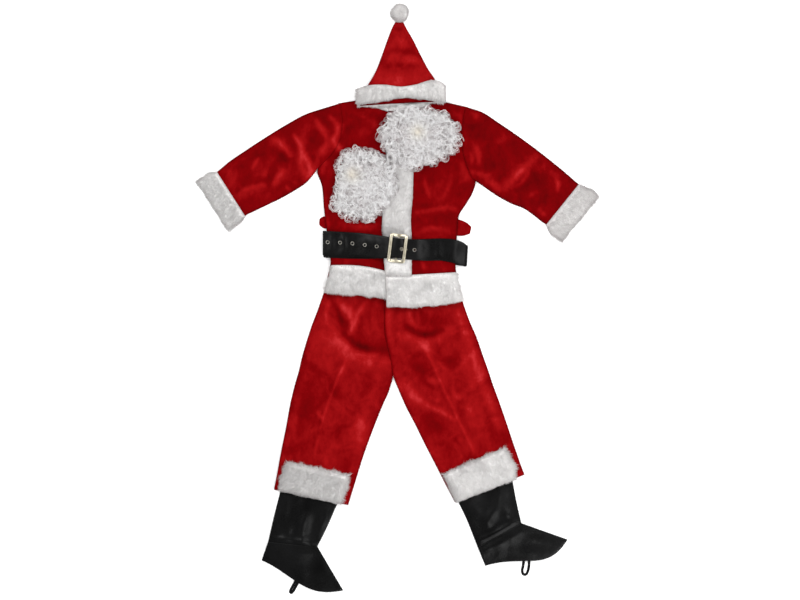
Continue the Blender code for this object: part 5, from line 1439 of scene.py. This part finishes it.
class CurlLook(bpy.types.PropertyGroup):
    """The white synthetic hair of the wig and beard."""

    locks: IntProperty(name="Locks", description="Ringlets on each mound", default=520)
    wisps: IntProperty(name="Wisps", description="Looser ringlets round each edge", default=170)
    strand_width: length_setting("Strand width", "Width of a strand", 0.00068)
    # Shade is painted shade deep between the ringlets, a little red; highlight is the painted highlight on
    # the uppermost strands, with the lightest random tone.
    shade: colour_setting("Shade", "Deep between the ringlets", 0.30, 0.25, 0.255)
    colour: colour_setting("Colour", "The hair", 0.76, 0.73, 0.73)
    highlight: colour_setting("Highlight", "The hair's brightest strands", 0.98, 0.98, 0.98)
    cream: colour_setting("Cream", "Tint over the cap's middle", 0.97, 0.93, 0.82)


class LeatheretteLook(bpy.types.PropertyGroup):
    """The black coated cloth of the belt and boot covers."""

    boot_thickness: length_setting("Boot covers", "Thickness of their walls", 0.0013)
    belt_thickness: length_setting("Belt", "Thickness of the strap", 0.0020)
    colour: colour_setting("Colour", "The coating", 0.002, 0.002, 0.002)
    rubbed: colour_setting("Rubbed", "The coating where it has rubbed", 0.007, 0.007, 0.0072)
    roughness: share_setting("Roughness", "How matt the coating is", 0.28)


class MetalLook(bpy.types.PropertyGroup):
    """The pale gold of the buckle and eyelets."""

    shade: colour_setting("Shade", "Dulled plating", 0.34, 0.30, 0.215)
    colour: colour_setting("Colour", "Bright plating", 0.68, 0.63, 0.50)
    roughness: share_setting("Roughness", "How dull the plating is", 0.3)


class StageLook(bpy.types.PropertyGroup):
    """The floor, lights and camera."""

    floor: colour_setting("Floor", "The floor's colour", 0.93, 0.93, 0.93)
    sky: number_setting("Walls", "Strength of the even light", 1.12)
    key: FloatProperty(name="Key light", description="Power of the large lamp", default=96.0, unit="POWER")
    height: length_setting("Camera height", "Height over the floor", 6.93)
    lens: number_setting("Lens", "Focal length in millimetres", 120.0)


LOOKS = (PlushLook, FurLook, CurlLook, LeatheretteLook, MetalLook, StageLook)


class SantaSuitSettings(bpy.types.PropertyGroup):
    """All the sizes and colours that a user would change."""

    plush: PointerProperty(type=PlushLook, name="Plush", description="Red velour")
    fur: PointerProperty(type=FurLook, name="Fur", description="White trims")
    curls: PointerProperty(type=CurlLook, name="Curls", description="Wig and beard")
    leatherette: PointerProperty(type=LeatheretteLook, name="Leatherette", description="Belt and boot covers")
    metal: PointerProperty(type=MetalLook, name="Metal", description="Buckle and eyelets")
    stage: PointerProperty(type=StageLook, name="Stage", description="Floor, lights and camera")


class SANTA_OT_boot_covers(bpy.types.Operator):
    """Lays both boot covers, each on its side, with its elastic strap"""

    bl_idname = "santa_suit.boot_covers"
    bl_label = "Boot covers"

    COVERS = (
        ("right", BOOT_SHAFT_RIGHT, BOOT_FOOT_RIGHT, BOOT_RIGHT_CREASES, BOOT_RIGHT_FOOT_CREASES),
        ("left", BOOT_SHAFT_LEFT, BOOT_FOOT_LEFT, BOOT_LEFT_CREASES, BOOT_LEFT_FOOT_CREASES),
    )

    def execute(self, context):
        thick = context.scene.santa_suit.leatherette.boot_thickness / MM
        for side, shaft, foot, *_ in self.COVERS:
            leatherette(f"boot_shaft_{side}_under", shaft, thick, ["floor"], 9.0)
            leatherette(f"boot_foot_{side}_under", foot, thick, ["floor"], 7.0)
        elastic("boot_elastic_right", ELASTIC_RIGHT)
        elastic("boot_elastic_left", ELASTIC_LEFT)
        for side, shaft, foot, *folds in self.COVERS:
            for node, cut, own in zip((f"boot_shaft_{side}", f"boot_foot_{side}"), (shaft, foot), folds):
                leatherette(node, cut, thick, [node + "_under"], 4.0, own, 0.4)
        return {"FINISHED"}


class SANTA_OT_trousers(bpy.types.Operator):
    """Lays the trousers: the legs' backs, their fronts with the creases, and the fur at the ankles"""

    bl_idname = "santa_suit.trousers"
    bl_label = "Trousers"

    LEGS = (
        ("right", TROUSER_RIGHT, TROUSER_RIGHT_CREASES),
        ("left", TROUSER_LEFT, TROUSER_LEFT_CREASES),
    )

    def execute(self, context):
        for side, cut, _ in self.LEGS:
            plush(f"trouser_back_{side}", cut, ["floor", f"boot_shaft_{side}"], 9.0)
        for side, cut, folds in self.LEGS:
            node, under = f"trouser_front_{side}", [f"trouser_back_{side}"]
            plush(node, cut, under, 3.3, folds, 0.5, 7.0, brushed=0.5)
        fur_trims(ANKLE_FURS, seed=11)
        return {"FINISHED"}


class SANTA_OT_jacket(bpy.types.Operator):
    """Lays the jacket: belt loops, back, sleeves, fronts, and every fur trim"""

    bl_idname = "santa_suit.jacket"
    bl_label = "Jacket"

    SLEEVES = (
        ("right", SLEEVE_RIGHT, SLEEVE_RIGHT_CREASES, 0.32),
        ("left", SLEEVE_LEFT, SLEEVE_LEFT_CREASES, 0.24),
    )

    def execute(self, context):
        keep_belt_run()
        for side in ("right", "left"):
            softened_copy(f"belt_loop_{side}", "red plush", nap=0.42)
        fur_trims(UNDER_FURS, seed=101)
        plush("jacket_back", JACKET_BACK, ["floor", "hem_fur_back"], 10.0)
        for side, cut, *_ in self.SLEEVES:
            plush(f"sleeve_back_{side}", cut, ["floor", "jacket_back"], 9.0)
        fur_trim(COLLAR_BACK_FUR, seed=131)
        plush("jacket_front_right", JACKET_FRONT_RIGHT, ["jacket_back"], 3.6, JACKET_RIGHT_CREASES, 0.5, 7.0)
        plush("jacket_front_left", JACKET_FRONT_LEFT, ["jacket_back"], 3.6, JACKET_LEFT_CREASES, 0.5, 7.0)
        for side, cut, folds, brushed in self.SLEEVES:
            node, under = f"sleeve_front_{side}", [f"sleeve_back_{side}"]
            plush(node, cut, under, 3.4, folds, 0.5, 6.0, sewn=True, brushed=brushed)
        fur_trims(FRONT_FURS, seed=201)
        return {"FINISHED"}


class SANTA_OT_belt(bpy.types.Operator):
    """Lays the belt: strap, eyelets, buckle and pin"""

    bl_idname = "santa_suit.belt"
    bl_label = "Belt"

    def execute(self, context):
        thick = context.scene.santa_suit.leatherette.belt_thickness / MM
        leatherette("belt_under", BELT_UNDER, thick, ["jacket_front_right", "placket_fur"], 5.0)
        softened_copy("belt_back", "black leatherette")
        under = ["belt_under", "placket_fur"]
        strap = leatherette("belt_front", BELT_FRONT, thick, under, 3.0, BELT_CREASES, 0.25, 5.0)
        punch(strap, [eyelet(f"eyelet_{k}") for k in range(1, 8)])
        buckle_frame()
        buckle_prong()
        return {"FINISHED"}


class SANTA_OT_hat(bpy.types.Operator):
    """Lays the hat: crown, brim and pompom"""

    bl_idname = "santa_suit.hat"
    bl_label = "Hat"

    def execute(self, context):
        fur_trim(BRIM_BACK_FUR, seed=301)
        plush("hat_back", HAT_BACK, ["floor", "hat_brim_fur_back"], 7.0)
        plush("hat_front", HAT_FRONT, ["hat_back"], 4.0, HAT_CREASES, 0.4, brushed=0.62)
        fur_trim(BRIM_FRONT_FUR, seed=311)
        pompom()
        return {"FINISHED"}


class SANTA_OT_hair(bpy.types.Operator):
    """Lays the beard and the wig: a matted cap each, covered in ringlets"""

    bl_idname = "santa_suit.hair"
    bl_label = "Beard and wig"

    def execute(self, context):
        hair_piece("beard", BEARD_CENTRE, BEARD_REACH, height=26.0, parting=(-117.0, 321.0), seed=401)
        hair_piece("wig", WIG_CENTRE, WIG_REACH, height=30.0, parting=(53.0, 432.0), seed=431)
        return {"FINISHED"}


FLOOR_HALF = 6000.0
# Lamps and camera, in metres
LAMP_SIZE = 1.6
LAMPS = (("key", (-1.6, 1.7, 3.7), 0.85), ("fill", (2.0, 1.1, 3.5), 0.65), ("foot", (1.35, -1.9, 3.4), 0.7))
CAMERA_PLACE = (0.0065, -0.0026)
# How bright the walls are, from the floor at 0 up to the ceiling at 1
WALL_LEVELS = ((0.0, 0.45), (0.22, 0.55), (0.45, 0.95), (0.62, 0.75), (0.8, 0.32), (1.0, 0.17))


class SANTA_OT_stage(bpy.types.Operator):
    """Sets up the pale floor, the soft lights and the camera overhead"""

    bl_idname = "santa_suit.stage"
    bl_label = "Floor, lights and camera"

    def execute(self, context):
        look = context.scene.santa_suit.stage
        self.lay_floor(tuple(look.floor))
        self.light_walls(look.sky)
        for name, place, share in LAMPS:
            lamp = bpy.data.lights.new(name, "AREA")
            lamp.energy, lamp.shape, lamp.size = look.key * share, "SQUARE", LAMP_SIZE
            light = linked(name, lamp)
            light.location = place
            light.rotation_euler = (-light.location).to_track_quat("-Z", "Y").to_euler()
        lens = bpy.data.cameras.new("overhead")
        lens.lens, lens.sensor_width = look.lens, 36.0
        camera = linked("overhead", lens)
        camera.location = (*CAMERA_PLACE, look.height)
        context.scene.camera = camera
        context.scene.view_settings.view_transform = "Standard"
        return {"FINISHED"}

    @staticmethod
    def lay_floor(tone):
        """A pale paper floor, wider than the camera's view."""
        corners = [(x * FLOOR_HALF, y * FLOOR_HALF, 0.0) for x, y in ((-1, -1), (1, -1), (1, 1), (-1, 1))]
        mesh = mesh_of("floor", corners, [(0, 1, 2, 3)])
        paper = Finish("pale floor", Roughness=0.95, Specular_IOR_Level=0.1, Emission_Strength=0.22)
        stops = (0.3, [0.985 * c for c in tone]), (0.7, tone)
        paper.feed("Base Color", paper.colours(paper.noise(350.0), *stops))
        mesh.materials.append(paper.material)
        linked("floor", mesh)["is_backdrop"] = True

    @staticmethod
    def light_walls(strength):
        """Even light from pale walls all round, under a dim ceiling."""
        world = bpy.data.worlds.new("even light")
        world.use_nodes = True
        sky = NodeTree(world.node_tree, "Background")
        height = sky.node("ShaderNodeSeparateXYZ", {}, {0: sky.node("ShaderNodeTexCoord")}, output=2)
        stops = [(rise, (level,) * 3) for rise, level in WALL_LEVELS]
        sky.feed("Color", sky.node("ShaderNodeValToRGB", {"stops": stops}, {0: height}))
        sky.shader.inputs["Strength"].default_value = strength
        bpy.context.scene.world = world


PIECES = (
    SANTA_OT_boot_covers,
    SANTA_OT_trousers,
    SANTA_OT_jacket,
    SANTA_OT_belt,
    SANTA_OT_hat,
    SANTA_OT_hair,
    SANTA_OT_stage,
)


class SANTA_PT_suit(bpy.types.Panel):
    """The suit's pieces, and the sizes and colours behind them"""

    bl_idname = "SANTA_PT_suit"
    bl_label = "Santa Suit"
    bl_space_type = "VIEW_3D"
    bl_region_type = "UI"
    bl_category = "Santa Suit"

    def draw(self, context):
        for piece in PIECES:
            self.layout.operator(piece.bl_idname)
        settings = context.scene.santa_suit
        for name in SantaSuitSettings.__annotations__:
            box = self.layout.box()
            box.label(text=name.capitalize())
            look = getattr(settings, name)
            for value in type(look).__annotations__:
                box.prop(look, value)


CLASSES = (*LOOKS, SantaSuitSettings, *PIECES, SANTA_PT_suit)


def register():
    for cls in CLASSES:
        bpy.utils.register_class(cls)
    bpy.types.Scene.santa_suit = PointerProperty(type=SantaSuitSettings)


def unregister():
    del bpy.types.Scene.santa_suit
    for cls in reversed(CLASSES):
        bpy.utils.unregister_class(cls)


def main():
    register()
    for piece in PIECES:
        group, name = piece.bl_idname.split(".")
        getattr(getattr(bpy.ops, group), name)()
    sizes = {"cad": CAD_BOX, "visual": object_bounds()}
    sizes = {key: [[float(x) for x in corner] for corner in box] for key, box in sizes.items()}


if __name__ == "__main__":
    main()
